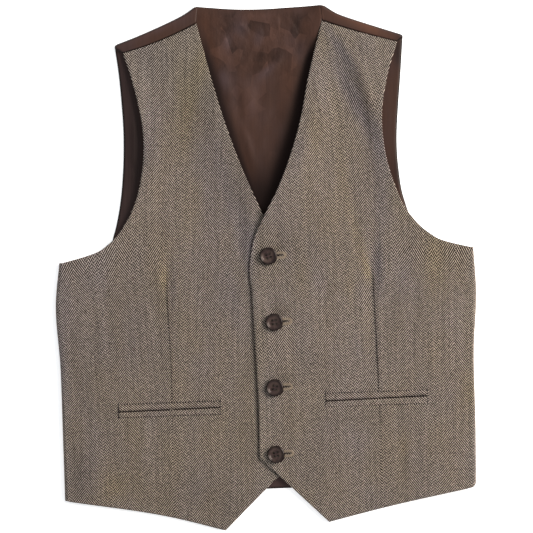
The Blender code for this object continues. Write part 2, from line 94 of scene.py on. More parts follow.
# side is -1 where the outer edge is at -X. A lift raises an edge of the cloth above its level,
# at each height y. A grain row gives X of one herringbone peak, as it runs on either side of the
# dart: the dart takes in the cloth between the two.
FRONT_RIGHT = Front(
    side=-1,
    seam_dip=2.2,
    sections=rows_of(
        Section,
        ("shoulder", -122.5, 183.5, -102, -81.5, -59.5, 209),
        ("upper chest", -114, 157.5, -91, -67.5, -46.9, 162.5),
        ("chest", -105.5, 117.5, -82.5, -58.5, -33.6, 120),
        ("mid armhole", -106, 82, -78, -49, -19.2, 82),
        ("low armhole", -111.5, 57, -80.5, -44.5, -8.4, 58),
        ("armhole turn", -119.5, 39, -83, -42, 0.7, 39),
        ("armhole foot", -133.5, 21, -85.5, -40.5, 10, 21),
        ("armhole flare", -148.5, 11.5, -86, -39.5, 14, 11.5),
        ("underarm", -177, 4, -86, -38.5, 16.5, 4),
        ("waist", -180, -31, -84.5, -37.5, 19.5, -31),
        ("high hip", -176, -86, -81.5, -36.5, 22.5, -81),
        ("hip", -174, -141, -80, -35.5, 24.5, -123.5),
        ("hem", -172, -199.7, -78, -34.5, 26, -163),
    ),
    levels=rows_of(
        Level,
        ("shoulder", 5, 5, 5, 5),
        ("chest", 4.8, 4.2, 4.4, 5),
        ("low armhole", 5, 4.2, 4, 3.8),
        ("underarm", 6, 4.4, 4, 3.4),
        ("high hip", 6, 4.4, 4, 3.4),
        ("hem", 6, 4.2, 4, 3.4),
    ),
    hem_dart_y=-214.3,
    hem_point_y=-225,
    corner=1,
    dart_tip_y=5,
    creases=rows_of(
        Crease,
        ([(-84.5, 26), (-83.8, 4), (-84.5, -28)], 7, 1.3),
        ([(-31, 104), (-14, 52), (-8, 8)], 12, 1),
        ([(-104, 62), (-112, 20), (-118, -14)], 12, 0.5),
        ([(-151, 8), (-156, -24), (-152, -60)], 12, 0.6),
        ([(-170, -62), (-163, -104), (-166, -150)], 9, 0.6),
        ([(-66, 150), (-60, 100), (-63, 55)], 13, -0.7),
    ),
    neck_lift=rows_of(Lift, (209, 0), (162, 2.5), (120, 4), (82, 4), (58, 2), (44, 0)),
    armhole_lift=rows_of(Lift, (184, 0), (150, 2), (80, 2.5), (30, 1), (10, 0)),
    grain=rows_of(
        GrainRow, (212, -49.5, -49.5), (144, -48.9, -48.9), (58, -51.2, -51.2), (12, -51, -51.3),
        (-27.5, -51.8, -48.2), (-62, -52.4, -45.3), (-113, -52.7, -41.7), (-156, -51.8, -40.2),
        (-225, -50.9, -38.4),
    ),
)

FRONT_LEFT = Front(
    side=1,
    seam_dip=0.8,
    sections=rows_of(
        Section,
        ("shoulder", 112, 193.5, 90, 68.5, 47.5, 211.5),
        ("upper chest", 103, 161, 81.5, 59, 36.2, 164.5),
        ("chest", 99.1, 128.5, 78, 54, 29.3, 127.5),
        ("mid armhole", 102.6, 96, 78, 49.5, 20.5, 96),
        ("low armhole", 110.3, 71, 81.5, 47, 10.2, 68.5),
        ("armhole turn", 121.5, 48, 85.5, 46.5, -1, 46),
        ("armhole foot", 139.5, 30, 88.5, 46.5, -8.5, 30),
        ("armhole flare", 151.5, 23.5, 89.5, 47, -11.5, 20.5),
        ("underarm", 177.5, 18, 90.5, 47.5, -13.5, 9),
        ("waist", 180, -20, 92, 49, -12, -24),
        ("high hip", 178, -69, 94.5, 50.5, -9.5, -67),
        ("hip", 179.5, -135, 97.5, 52.5, -6.5, -117.5),
        ("hem", 180, -187.2, 100, 54, -5.5, -162.5),
    ),
    levels=rows_of(
        Level,
        ("shoulder", 5, 5, 5, 5),
        ("chest", 5.4, 5.2, 5.6, 6.6),
        ("low armhole", 5.6, 5.2, 5.6, 6.4),
        ("underarm", 6, 5.2, 5.6, 6),
        ("high hip", 6, 5.2, 5.6, 6),
        ("hem", 6, 5, 5.4, 6),
    ),
    hem_dart_y=-205.5,
    hem_point_y=-217.5,
    corner=5,
    dart_tip_y=5,
    creases=rows_of(
        Crease,
        ([(53, 206), (69, 168), (81, 132), (92, 92)], 13, 2.2),
        ([(61, 200), (80, 166), (94, 130)], 9, -0.9),
        ([(93, 40), (92.5, 8), (93.5, -30)], 8, 1.4),
        ([(86, 24), (87, 0), (88, -18)], 5, -0.6),
        ([(2, -36.5), (10, -37.5), (18, -38.5)], 4.5, 0.6),
        ([(3, -93), (11, -94), (19, -95)], 4.5, 0.6),
        ([(-9, 12), (-7.5, -46), (-4.5, -110), (-2.5, -158)], 5, -0.5),
        ([(19, 24), (20, 4), (16, -14)], 6, 0.5),
        ([(28, 120), (40, 80), (36, 40)], 13, -0.7),
        ([(24, -58), (26, -82), (22, -96)], 7, 0.5),
        ([(150, -6), (157, -40), (150, -80)], 12, -0.6),
    ),
    neck_lift=rows_of(
        Lift, (211, 0), (165, 4), (128, 6), (96, 6.5), (68, 5.5), (46, 2.5), (22, 0),
    ),
    armhole_lift=rows_of(Lift, (193, 0), (160, 1), (96, 1.5), (40, 0.5), (20, 0)),
    grain=rows_of(
        GrainRow, (212, 28.7, 28.7), (172, 35.1, 35.1), (138, 41.1, 41.1), (101, 44.6, 44.6),
        (58, 46.9, 46.9), (18, 48.2, 47.6), (-27.5, 52.5, 45.9), (-70.5, 54.2, 46.1),
        (-101, 56.3, 46.4), (-141.5, 57.7, 46.8), (-220, 60, 47),
    ),
)
LIFT_REACH = 38  # from the edge to where a lift has died away
ARMHOLE_REACH = 20

ArmholeRow = namedtuple("ArmholeRow", "name right_x right_y left_x left_y")
BACK_ARMHOLES = rows_of(
    ArmholeRow,
    ("shoulder blade", -126, 164, 115, 164),
    ("upper back", -124, 143.5, 113.5, 143.5),
    ("chest", -122, 109, 112, 108),
    ("mid armhole", -122.5, 81.5, 113.5, 85.5),
    ("low armhole", -126, 47.5, 118.5, 58.5),
    ("armhole turn", -130.5, 27.5, 126, 41),
    ("armhole foot", -135, 16, 138, 28),
    ("armhole flare", -147, 8, 153, 19.5),
)
SideRow = namedtuple("SideRow", "name right_y left_y")
BACK_SIDES = rows_of(
    SideRow, ("underarm", 1.5, 15), ("waist", -31, -22), ("hip", -110, -105), ("hem", -199.5, -186),
)
BACK_HEM_RISE = 3.5

Shoulder = namedtuple("Shoulder", "front fold lie")
SHOULDER_RIGHT = Shoulder(
    FRONT_RIGHT,
    [(-129.5, 190.5), (-108, 199), (-83.5, 210), (-70, 217), (-61, 223.5)],
    115,
)
SHOULDER_LEFT = Shoulder(
    FRONT_LEFT,
    [(117, 199.5), (94.5, 206.5), (74, 213), (60.5, 218), (49, 225)],
    73,
)
TIP_LIE = 90
TIP_SHARE = 0.25
NECK_SHARE = 0.12
NECK_CURVE = [(-29, 221.5), (-5, 221.5), (19, 223)]

# Creases of the satin, inside the neck and the armholes. Below zero, a crease is a ridge.
SATIN_CREASES = rows_of(
    Crease,
    ([(-37, 202), (-34, 193), (-31, 184)], 3.2, -0.39),
    ([(-25, 212), (-18, 204), (-13, 197)], 2.8, -0.44),
    ([(-42, 207), (-35, 200), (-27, 197)], 3.5, 0.33),
    ([(8, 218), (10, 210), (11, 202)], 2.6, -0.33),
    ([(16, 217), (20, 210), (26, 203)], 2.8, -0.39),
    ([(23, 210), (28, 204), (30, 196)], 3.2, 0.33),
    ([(-9, 208), (-5, 200), (-8, 190)], 3.4, -0.39),
    ([(-20, 203), (-14, 194), (-16, 186)], 3.4, 0.33),
    ([(22.5, 203), (24, 194), (23.5, 186)], 1.8, -0.19),
    ([(-31, 186), (-24, 180), (-18, 175)], 2.6, -0.39),
    ([(-19, 175), (-15, 180), (-12, 188)], 2.6, -0.33),
    ([(-14, 180), (-2, 179), (8, 181), (13, 187)], 4.6, 0.44),
    ([(-15, 174.5), (-2, 172.5), (11, 175)], 2.6, -0.28),
    ([(9, 184.5), (13.5, 181)], 2.2, -0.28),
    ([(15, 180), (10, 174), (5, 167)], 2.8, -0.33),
    ([(-41, 197), (-41.5, 186), (-39, 174)], 2, -0.22),
    ([(-34, 217), (-10, 216.5), (17, 217.5)], 1.8, 0.17),
    ([(-41, 173), (-36, 160), (-30, 142)], 8, -0.6),
    ([(-23, 162), (-16, 148), (-12, 130)], 10, -0.7),
    ([(16, 183), (5, 172), (-8, 162)], 5, -0.5),
    ([(-27, 160), (-25, 140), (-18, 112)], 6, 0.5),
    ([(-22, 128), (-17, 110), (-9, 84)], 5, -0.5),
    ([(10, 158), (7, 128), (1, 94)], 9, 0.5),
    ([(-118, 150), (-114, 110), (-116, 70)], 5, -0.9),
    ([(-121, 96), (-112, 82), (-106, 78)], 3, 0.44),
    ([(-120, 60), (-113, 52)], 3, 0.39),
)

# A soft patch of the cloth: its middle, its reach across and along, how far its length leans from
# +Y to +X in degrees, and how much warmer and lighter than the rest the cloth is there. Partly
# this is the cloth's own tone, and partly painted light and shade.
Patch = namedtuple("Patch", "x y across along lie warmth light crisp", defaults=(1,))
# Tweed patches: the tweed's own warm and cool clouds, with painted shadows of creases, the dart
# tips, the buttons' puckers and the placket, and painted highlights on the lit sides of creases.
TWEED_PATCHES = rows_of(
    Patch,
    (-68, 135, 10, 47, 0, 1, 0.08),
    (-99.5, 110, 10, 38, 8, -0.3, -0.09),
    (-50, 58, 9, 40, -8, -0.4, -0.06),
    (-36, 78, 7, 48, -11, -0.7, 0),
    (-14, -6, 6, 24, 0, -0.5, 0),
    (-12, -118, 12, 16, 0, 0, 0.08),
    (-31, -26, 12, 34, -15, -0.9, -0.03),
    (-20, 44, 7, 40, -9, -0.6, -0.17),
    (-16, 22, 6, 20, 10, -0.4, -0.1),
    (-104, 97, 9, 14, 0, -0.3, -0.12),
    (-87, -6, 6, 34, 0, 0.7, 0.04),
    (-87.5, -9, 2.6, 8, 0, 1, 0.15),
    (-80, -14, 4, 22, 0, -0.5, -0.1),
    (-74, -53, 7, 52, 0, 0.2, 0.09),
    (-146, -4, 22, 26, 0, -0.6, -0.02),
    (-176, -64, 8, 60, 0, -1, 0),
    (-139, -66, 24, 32, 0, -0.2, -0.08),
    (-156, -178, 12, 28, 0, -0.5, -0.27),
    (-127, -186, 14, 15, 0, 1, 0),
    (-84, -178, 8, 34, 0, 0, -0.09),
    (-78, 160, 8, 14, 0, 0, 0.07),
    (-125, -72, 22, 26, 0, 0, -0.05),
    (-48, 58, 12, 36, -8, 0, -0.05),
    (-56, -196, 34, 13, 0, 0, -0.09),
    (-57, -83, 13, 14, 0, -0.4, 0),
    (-60, -150, 45, 25, 0, 0.3, 0),
    (-18, -36, 5, 24, 0, 0, -0.08),
    (64, 187, 4.5, 26, -33, -1, -0.2),
    (73, 150, 7.5, 46, -27, -1.2, -0.27),
    (95, 165, 8, 36, -12, -0.3, 0.1),
    (29, 104, 5, 34, 16, -0.4, -0.18),
    (44, 110, 11, 40, -10, 0.3, -0.06),
    (76, 34, 5, 48, -14, 0.7, 0.03),
    (124, 42, 6, 14, -40, 0.3, 0.12),
    (50, 40, 20, 20, 0, 0, 0.05),
    (140, -20, 8, 24, 0, 0, 0.06),
    (56, -30, 8, 22, 0, 0.2, -0.06),
    (10, 17, 9, 5, 0, 0.2, -0.16),
    (-11, 30, 4, 30, 5, -0.2, 0.32, 2),
    (98, 72, 9, 46, -3, -0.8, -0.02),
    (33, -12, 9, 22, 0, 0.7, 0),
    (88, -3.5, 3, 11, -15, 0.9, 0.14),
    (95.5, 2, 4.5, 27, 0, -1, -0.24),
    (92.5, -35, 3, 60, -4, -0.3, -0.12),
    (60, 45, 10, 24, -17, 0.2, 0.07),
    (72, -15, 5, 16, 0, 0.7, 0),
    (118, -13, 13, 24, 0, -0.8, 0),
    (42, -85, 12, 8, 0, 0, -0.07),
    (16, 17, 6, 20, 0, -0.5, -0.04),
    (-54, 174, 7, 22, 12, 0.8, 0.06),
    (-59, 140, 8, 20, 0, 0, 0.07),
    (47, 195, 6, 20, -10, 0.7, 0),
    (46, -15, 9, 20, 0, -0.5, 0.03),
    (79, -70, 8, 17, 0, -0.6, -0.05),
    (143, 6, 9, 28, 0, 0.9, 0.04),
    (172, -104, 8, 18, 0, 0.8, 0),
    (118, -150, 5, 16, 0, 0.8, 0),
    (78, -146, 14, 16, 0, -0.5, 0),
    (74, -128, 24, 7, 0, 0, -0.13),
    (25, -139, 10, 22, 0, 0.6, 0),
    (123.5, -176, 10, 10, 0, 0, -0.08),
    (11.5, -37, 9, 6, 0, 0.3, -0.3),
    (14, -95, 11, 5.5, 0, 0, -0.22),
)
# Satin patches: the satin's own warmer and cooler tone, with painted sheen on its creases, painted
# shade in the armholes, and painted light where the straps' shadows fall on the lining.
SATIN_PATCHES = rows_of(
    Patch,
    (-33, 193, 4, 8, 12, -0.9, 0.25),
    (-6, 198, 4, 8, 0, -0.8, 0.2),
    (-22, 205, 8, 7, 0, -0.8, -0.2),
    (-3, 176, 13, 8, 0, 0.7, 0),
    (20, 158, 8, 24, 12, 0.7, 0.1),
    (-18, 142, 6, 16, 0, 0.7, 0.1),
    (-36, 162, 6, 10, -10, -1, 0.15),
    (-15, 148, 9, 16, -5, -0.5, 0.3),
    (3, 171, 4.5, 13, 46, -1, 0.2),
    (0, 180, 13, 4.4, 0, 0, -0.1, 3),
    (-35, 203, 7, 4, -30, 0, -0.25),
    (-47, 190, 4, 20, -17, 0.9, 0.1),
    (34, 205, 7, 10, 0, 0.3, 0),
    (26, 209, 3, 5, 0, 0, -0.3),
    (-6, 211, 8, 5, 0, 0, -0.2),
    (3, 189, 5, 6, 20, 0, -0.2),
    (29, 186, 7, 12, 0, -0.4, -0.2),
    (-50, 211, 9, 10, 0, 0.7, 0.05),
    (-95, 206, 6, 34, 66, -0.8, 0.35),
    (82, 213, 2.5, 34, -69, -1.8, 0),
    (116, 110, 7, 62, 0, 0.7, -0.27),
    (110, 84, 9, 14, 0, 0, -0.25),
    (116, 186, 7, 14, 0, -0.6, -0.6, 2),
    (85, 207, 5, 26, -69, 0.9, 0.6),
    (41, 206, 5, 14, 10, 0, 0.2),
    (113, 110, 3, 60, 0, 0, -0.3, 2),
    (47.6, 217.5, 0.9, 8.5, -9, 0, 1.1, 2),
    (-58.9, 215, 0.8, 8.5, 7, 0, 0.2, 2),
    (12, -183, 20, 12, 0, -1, 0.08),
    (-15, 84, 6, 20, -24, 1.1, 0),
    (-120, 102, 14, 92, 0, -1.2, -0.36, 3),
    (-110, 98, 7, 38, 0, 0, -0.4),
)

# How dark the painted shade along each dart's seam is, down its length.
Shade = namedtuple("Shade", "y amount")
DART_SHADES = {
    "right": rows_of(Shade, (-12, 0), (-20, 0.45), (-42, 0.5), (-52, 0.2), (-105, 0.2), (-140, 0)),
    "left": rows_of(
        Shade, (-2, 0), (-7, 0.9), (-24, 0.8), (-32, 0.4), (-62, 0.4), (-76, 0.9), (-90, 0.4),
        (-110, 0.3), (-140, 0),
    ),
}
DART_SEAM_REACH = 0.75

Pocket = namedtuple(
    "Pocket", "name front start_x end_x top_start top_end mouth_start mouth_end foot_start foot_end"
)
POCKETS = rows_of(
    Pocket,
    ("right", FRONT_RIGHT, -126, -39, -117, -114, -123.5, -119.5, -128.5, -125.5),
    ("left", FRONT_LEFT, 51, 138, -107.5, -104.5, -114, -109.5, -119, -116),
)
BUTTON_PLACES = [(2, 10), (7, -46.5), (7.5, -102.5), (8.5, -159.5)]

# How finely the cloth is divided here
ROW_STEP = 1.6
OUTER_CELLS = 48
MIDDLE_CELLS = 26
INNER_CELLS = 32
NEAR_EDGE = (0.12, 0.4, 0.9)  # extra columns and rows, at these distances from an edge
NEAR_DART = (0.5, 1.1)
HEM_ROWS = (5.6, 4.2, 3, 2, 0.9, 0.4, 0.12)
FOLD_STEPS = 12
BACK_ROW_STEP = 2.8
NECK_ROW_STEP = 1.25
NECK_SECTIONS = 3  # of the back's sections, from the top, that have the finer rows
SHOULDER_CELLS = 44
NECK_CELLS = 84
STRIP_CELLS = 8
PATH_CELLS = 4  # between two points of a crease's path
SIDE_SAMPLES = 200
FRONT_ROUND = 0.85  # radius of the fronts' turned edges
BACK_ROUND = 0.5

DART_COLUMN = len(NEAR_EDGE) + OUTER_CELLS + len(NEAR_DART)

# The dart's narrow groove: its depth, and the share of it that is left below the pocket.
DART_GROOVE = 1.1
LOW_GROOVE = 0.3
LOW_GROOVE_Y = (-120, -150)

# The back's inside: how far it swells in the neck and climbs to the left shoulder's fold. A pair
# says where a change starts and where it is whole, as Y or as a distance from a front's edge.
LINING_LOW = 0.6  # a point between these two heights is on the inside
LINING_HIGH = BACK_WALL + 0.05
LINING_SWELL = 0.6
NECK_EDGE = (0, 14)
NECK_FOOT = (46, 76)
NECK_TOP = (222, 214)
STRAP_RISE = 3.4
STRAP_FOOT = (0, 18)
STRAP_EDGE = (-1.2, -0.4)
STRAP_TOP = (176, 204)

# The shade of the fronts on the lining, and how crumpled the satin is
NECK_SHADE_Y = [50, 100, 140, 180, 205]
NECK_SHADE_REACH = [32, 18, 11, 6, 2]  # of the left front's shade, at those heights
LEFT_SHADE_START = 3
LEFT_SHADE_TOP = (204, 180)
RIGHT_SHADE = (1, 10)
RIGHT_SHADE_TOP = (212, 172)
FOOT_SHADE = (60, 108)
SHADE_UNDER = 6  # how far the shade goes on under the fronts
CRUMPLE_Y = [110, 160, 185]
CRUMPLE = [0.15, 0.4, 1]

# Painted light and shade where the cloth turns away at an edge, and painted shade beside the
# placket. A turn is Z of the cloth's normals, where the edge starts and where it has turned away.
SATIN_TURN = (0.96, 0.66)
TWEED_TURN = (0.85, 0.25)
UNDERSIDE = -0.4  # below this, a normal belongs to the underside
SATIN_EDGE_SHADE = 0.85
TWEED_EDGE_LIGHT = 0.65
TWEED_NECK_EDGE_LIGHT = -0.5
NECK_HALF_WIDTH = 80
PLACKET_Y = [-120, -20, 50]
PLACKET_SHADES = [0.4, 0.05, 0]
PLACKET_REACH = (0.5, 2.9)
NEAR = 0.01  # two heights or places this near are the same

# The pockets' jets, mouths and seams
POCKET_LINES = ("top", "mouth", "foot")
LIP_CELLS_ALONG = 72
LIP_CELLS_ACROSS = 8
LIP_PROUD = 0.45
LIP_WALL = 0.9
LIP_GAP = 0.05
LIP_FEELERS = (-1.5, 0, 1.5)  # a jet lies on the highest cloth this far to its sides
MOUTH_HALF_GAP = 0.48
MOUTH_RADIUS = 0.42
UPPER_JET_GRAIN = 3  # of the herringbone, across each jet, from a peak to the jet's lower edge
LOWER_JET_GRAIN = 13
Seam = namedtuple("Seam", "pitch length radius seed")
POCKET_SEAMS = rows_of(Seam, (1.9, 1.6, 0.34, 5), (2.1, 1.5, 0.2, 7))
SEAM_OUTSIDE = 0.15  # from a jet's edge to its seam
END_BAR = 1.6  # how far the stitches at a pocket's ends go on above it
STITCH_RISE = 0.12  # of a stitch's middle above the cloth
SEAM_POINTS = 45
END_BAR_POINTS = 8
SEAM_RAGGEDNESS = 0.08

# The buttons and buttonholes
ProfilePoint = namedtuple("ProfilePoint", "radius height")
BUTTON_PROFILE = rows_of(
    ProfilePoint, (0, 0), (5.2, 0), (6.3, 0.25), (7.05, 0.8), (7.4, 1.35), (7.5, 1.9), (7.35, 2.5),
    (7, 2.92), (6.5, 3.1), (6.15, 2.98), (5.8, 2.7), (5.45, 2.38), (5, 2.08), (4.5, 1.86),
    (3.8, 1.74), (2.8, 1.68), (1.4, 1.72), (0, 1.75),
)
DISH_LIGHT = 0.85  # how much paler a button's dish is than its rim: painted light on the dish
# painted shade on a button's rim
RIM_SHADE = 0.5
DISH_EDGE = (4.6, 6)
RIM_EDGE = (6.2, 7)
BUTTON_STEPS = 56
HOLE_STEPS = 14
BUTTON_TURNS = (18, 6, -9, 12)  # degrees that each button is turned by
SHARP_ANGLE = math.radians(38)
SAME_POINT = 0.001  # points of a button this near become one
STRAND_RADIUS = 0.24
BAR_HEIGHT = 1.6  # of the thread's bars above the button's underside
BAR_ARCH = 0.2
BAR_POINTS = 9
BAR_PAST = 0.1  # how far a bar goes on past the holes' middles
BAR_DIVE = 0.8  # share of its half length after which it dives into a hole
HOLE_SLOPE = 0.07  # how far a buttonhole rises for each millimetre to the side
STITCH_FOOT = 0.56  # of a buttonhole's stitches, from the slit's middle
HOLE_RAGGEDNESS = 0.12
SLIT_SIDE_POINTS = 12
SLIT_TURN_POINTS = 9
SLIT_ROWS = 17
SLIT_BLUNT = 0.06  # of the half sine that rounds the slit, cut off each end
SLIT_START = 1.05  # half the slit's width
SLIT_END = 0.42
SLIT_WAVE = 0.25
SLIT_WAVES = 9
SLIT_RING = ((-1, 0.12), (0, 0.24), (1, 0.12), (0, -0.2))  # side and height of a ring's corners

# Short thick yarns in the tweed
Slub = namedtuple("Slub", "x y lie length")
SLUBS = {
    "right": rows_of(Slub, (-113, -69.5, 70, 2.6), (-51.5, -146, 40, 2), (-114, -9.5, 85, 2.6)),
    "left": rows_of(Slub, (95.5, 28, 60, 1.8), (37, -68, 80, 2.2), (70, -168, 65, 1.8)),
}
SLUB_COLOUR = (0.075, 0.022, 0.018)
SLUB_RADIUS = 0.26

THREAD_SHADE = 0.6  # of a thread's colour: painted shade between its strands
OPENING_DARK = (0.006, 0.004, 0.004)
OPENING_LINT = (0.02, 0.013, 0.011)

# The stage, in metres, but for the view, which is in millimetres
KEY_DISTANCE = 2.6
KEY_SIZE = 1.7
KEY_COLOUR = (1, 0.955, 0.90)
SKY_COLOUR = (0.93, 0.965, 1, 1)
FLOOR_SIZE = 4
FLOOR_COLOUR = (0.93, 0.93, 0.93)
FLOOR_GAP = 0.0003  # between the floor and the waistcoat
FLOOR_GLOW = 0.5  # the floor is a lit white table, so that no grey shadow lies round the cloth
VIEW_X = 0.43  # middle of the view
VIEW_Y = 1.07
VIEW_WIDTH = 456.8
SENSOR = 36
CLIP_END = 20


# --- Settings ---


def number_setting(name, description, default, **kind):
    return bpy.props.FloatProperty(name=name, description=description, default=default, **kind)


def count_setting(name, description, default):
    return bpy.props.IntProperty(name=name, description=description, default=default)


def length_setting(name, description, default):
    """A length, whose default is given in millimetres."""
    kind = {"subtype": "DISTANCE", "unit": "LENGTH", "precision": 5}
    return number_setting(name, description, default * MM, **kind)


def colour_setting(name, description, default):
    kind = {"subtype": "COLOR", "size": 3, "min": 0, "max": 1}
    return bpy.props.FloatVectorProperty(
        name=name, description=description, default=default, **kind
    )


class WeaveSettings(bpy.types.PropertyGroup):
    """The herringbone tweed."""

    end_pitch: length_setting("End pitch", "Width of one warp end", 0.4775)
    pick_pitch: length_setting("Pick pitch", "Height of one weft pick", 0.5875)
    wide_ends: count_setting("Wide arm", "Warp ends in each of the two wide arms", 24)
    narrow_ends: count_setting("Narrow arm", "Warp ends in each narrow arm", 4)
    narrow_arms: count_setting("Narrow arms", "Narrow arms between two pairs of wide ones", 8)
    light_yarn: colour_setting("Light yarn", "Colour of the warp", (0.770, 0.642, 0.537))
    dark_yarn: colour_setting("Dark yarn", "Colour of the weft", (0.016, 0.0115, 0.0098))
    relief: length_setting("Relief", "Height of the yarns", 0.12)
    float_length: number_setting("Float", "Picks that a light float shows over", 1.25)


class SatinSettings(bpy.types.PropertyGroup):
    """The satin back."""

    colour: colour_setting("Colour", "Main colour of the satin", (0.0402, 0.0193, 0.0138))
    warm: colour_setting("Warm colour", "Colour where it turns warmer", (0.0510, 0.0222, 0.0138))
    cool: colour_setting("Cool colour", "Colour where it turns purple", (0.0430, 0.0255, 0.0245))
    shine: colour_setting("Shine", "Colour of the satin's sheen", (1.0, 0.80, 0.73))
    roughness: number_setting("Roughness", "How matt the satin is", 0.46, min=0, max=1)


class ButtonSettings(bpy.types.PropertyGroup):
    """The buttons."""

    radius: length_setting("Radius", "Radius of a button", 7.5)
    hole_radius: length_setting("Hole radius", "Radius of a thread hole", 1.05)
    hole_offset: length_setting("Hole offset", "Each hole from the middle, both ways", 1.6)
    colour: colour_setting("Colour", "Main colour of the resin", (0.0165, 0.0100, 0.0096))
    cloud: colour_setting("Cloud", "Colour of its paler clouds", (0.036, 0.024, 0.020))


class SewingSettings(bpy.types.PropertyGroup):
    """Stitches, buttonholes and slubs."""

    thread_radius: length_setting("Thread radius", "Radius of the sewing thread", 0.22)
    hole_length: length_setting("Buttonhole", "Length of a buttonhole", 18)
    hole_end: length_setting("Buttonhole end", "From the button's middle to the hole's end", 12.8)
    bar_length: length_setting("Bar length", "Length of a buttonhole stitch", 2.9)
    bar_pitch: length_setting("Bar pitch", "Spacing of the buttonhole stitches", 0.5)
    hole_thread: colour_setting("Buttonhole thread", "Colour of its stitches", (0.285, 0.215, 0.15))
    seam_thread: colour_setting("Seam thread", "Colour of other stitches", (0.016, 0.010, 0.008))


class StageSettings(bpy.types.PropertyGroup):
    """Floor, lights and camera."""

    lens: number_setting("Lens", "Focal length of the camera", 200)
    key_power: number_setting("Key light", "Power of the key light", 122, subtype="POWER")
    key_height: number_setting(
        "Key height", "Angle of the key light above the floor", math.radians(34), subtype="ANGLE"
    )
    key_turn: number_setting(
        "Key turn", "Direction of the key light, from +X to +Y", math.radians(22), subtype="ANGLE"
    )
    sky: number_setting("Sky", "Strength of the even light all round", 0.62)


# --- Curves, creases and patches ---


def ease(share):
    """0 below 0, 1 above 1 and a smooth step between."""
    share = np.clip(share, 0, 1)
    return share * share * (3 - 2 * share)


def between(value, start, end):
    """0 at the start, 1 at the end and a smooth step between."""
    return ease((value - start) / (end - start))


def curve(knots, values, at, corners=()):
    """The values at given places on a smooth curve through them, which is sharp at corners."""
    knots = np.asarray(knots, float)
    values = np.asarray(values, float).reshape(len(knots), -1)
    gap = np.diff(knots)[:, None]
    slope = np.diff(values, axis=0) / gap
    into, out_of = np.vstack([slope[:1], slope]), np.vstack([slope, slope[-1:]])
    before, after = np.vstack([gap[:1], gap]), np.vstack([gap, gap[-1:]])
    mean = (into * after + out_of * before) / (before + after)
    sharp = np.isin(np.arange(len(knots)), corners)[:, None]
    into, out_of = np.where(sharp, into, mean), np.where(sharp, out_of, mean)
    at = np.atleast_1d(np.asarray(at, float))
    left = np.clip(np.searchsorted(knots, at, side="right") - 1, 0, len(knots) - 2)
    span = gap[left]
    share = (at[:, None] - knots[left][:, None]) / span
    found = (
        (2 * share**3 - 3 * share**2 + 1) * values[left]
        + (share**3 - 2 * share**2 + share) * span * out_of[left]
        + (3 * share**2 - 2 * share**3) * values[left + 1]
        + (share**3 - share**2) * span * into[left + 1]
    )
    return found[:, 0] if found.shape[1] == 1 else found


def smooth_path(path):
    """A path's points with more between them, on a smooth curve."""
    last = len(path) - 1
    return curve(np.arange(len(path)), path, np.linspace(0, last, PATH_CELLS * last + 1))


def nearest_on(path, x, y):
    """(distance from (x, y) to a path, how far along it the nearest place is, its length)."""
    lengths = np.maximum(np.hypot(*np.diff(path, axis=0).T), 1e-9)
    reach = np.concatenate([[0], np.cumsum(lengths)])
    nearest, along = np.full(np.shape(x), np.inf), np.zeros(np.shape(x))
    for start, end, length, before in zip(path[:-1], path[1:], lengths, reach):
        step = (end - start) / length
        share = np.clip((x - start[0]) * step[0] + (y - start[1]) * step[1], 0, length)
        off = np.hypot(x - start[0] - share * step[0], y - start[1] - share * step[1])
        along = np.where(off < nearest, before + share, along)
        nearest = np.minimum(off, nearest)
    return nearest, along, reach[-1]


def crease_height(crease, x, y):
    """How far a crease lifts the cloth at (x, y): a trough along its path, fading at both ends."""
    nearest, along, length = nearest_on(smooth_path(crease.path), x, y)
    across = np.clip(1 - (nearest / crease.half_width) ** 2, 0, 1) ** 2
    return -crease.depth * across * np.sin(np.pi * along / length)


def patch_sum(patches, x, y):
    """The warmth and the light that the patches give the cloth at (x, y)."""
    warmth, light = np.zeros(np.shape(x)), np.zeros(np.shape(x))
    for patch in patches:
        lean = math.radians(patch.lie)
        off_x, off_y = x - patch.x, y - patch.y
        along = off_x * math.sin(lean) + off_y * math.cos(lean)
        across = off_x * math.cos(lean) - off_y * math.sin(lean)
        off = (across / patch.across) ** 2 + (along / patch.along) ** 2
        share = np.exp(-(off**patch.crisp))
        warmth += patch.warmth * share
        light += patch.light * share
    return warmth, light


# --- The form of a front ---


def section_places(front):
    """How far down each section is, halfway between its two ends."""
    return np.array([-(s.outer_y + s.inner_y) / 2 for s in front.sections])


def place_of(front, name):
    return section_places(front)[[s.name for s in front.sections].index(name)]


def down_front(front, *fields):
    """The named fields of a front's sections, as columns."""
    return np.array([[getattr(s, field) for field in fields] for s in front.sections])


def rows_down(places, ends, steps):
    """Places of rows between the sections, so close that no edge is coarser than its step."""
    rows = []
    for k, step in enumerate(steps):
        longest = max(math.dist(edge[k], edge[k + 1]) for edge in ends)
        count = max(1, round(longest / step))
        rows += list(np.linspace(places[k], places[k + 1], count, endpoint=False))
    return rows + [places[-1]]


def front_rows(front):
    ends = [down_front(front, f"{edge}_x", f"{edge}_y") for edge in ("outer", "inner")]
    rows = rows_down(section_places(front), ends, [ROW_STEP] * (len(front.sections) - 1))
    hem = rows[-1]
    top = [rows[0] + below for below in (0, *NEAR_EDGE)]
    rows = [row for row in rows[1:-1] if row < hem - HEM_ROWS[0] - ROW_STEP / 2]
    return np.array(top + rows + [hem - above for above in HEM_ROWS] + [hem])


def outer_edge(front, rows):
    names = [s.name for s in front.sections]
    points = down_front(front, "outer_x", "outer_y")
    edge = curve(section_places(front), points, rows, [names.index("underarm")])
    into_corner = np.clip(front.corner - (edge[:, 1] - edge[-1, 1]), 0, front.corner)
    edge[:, 0] -= front.side * (front.corner - np.sqrt(front.corner**2 - into_corner**2))
    return edge


def seam_sag(front, share):
    return front.seam_dip * np.sin(np.pi * np.clip(share, 0, 1))


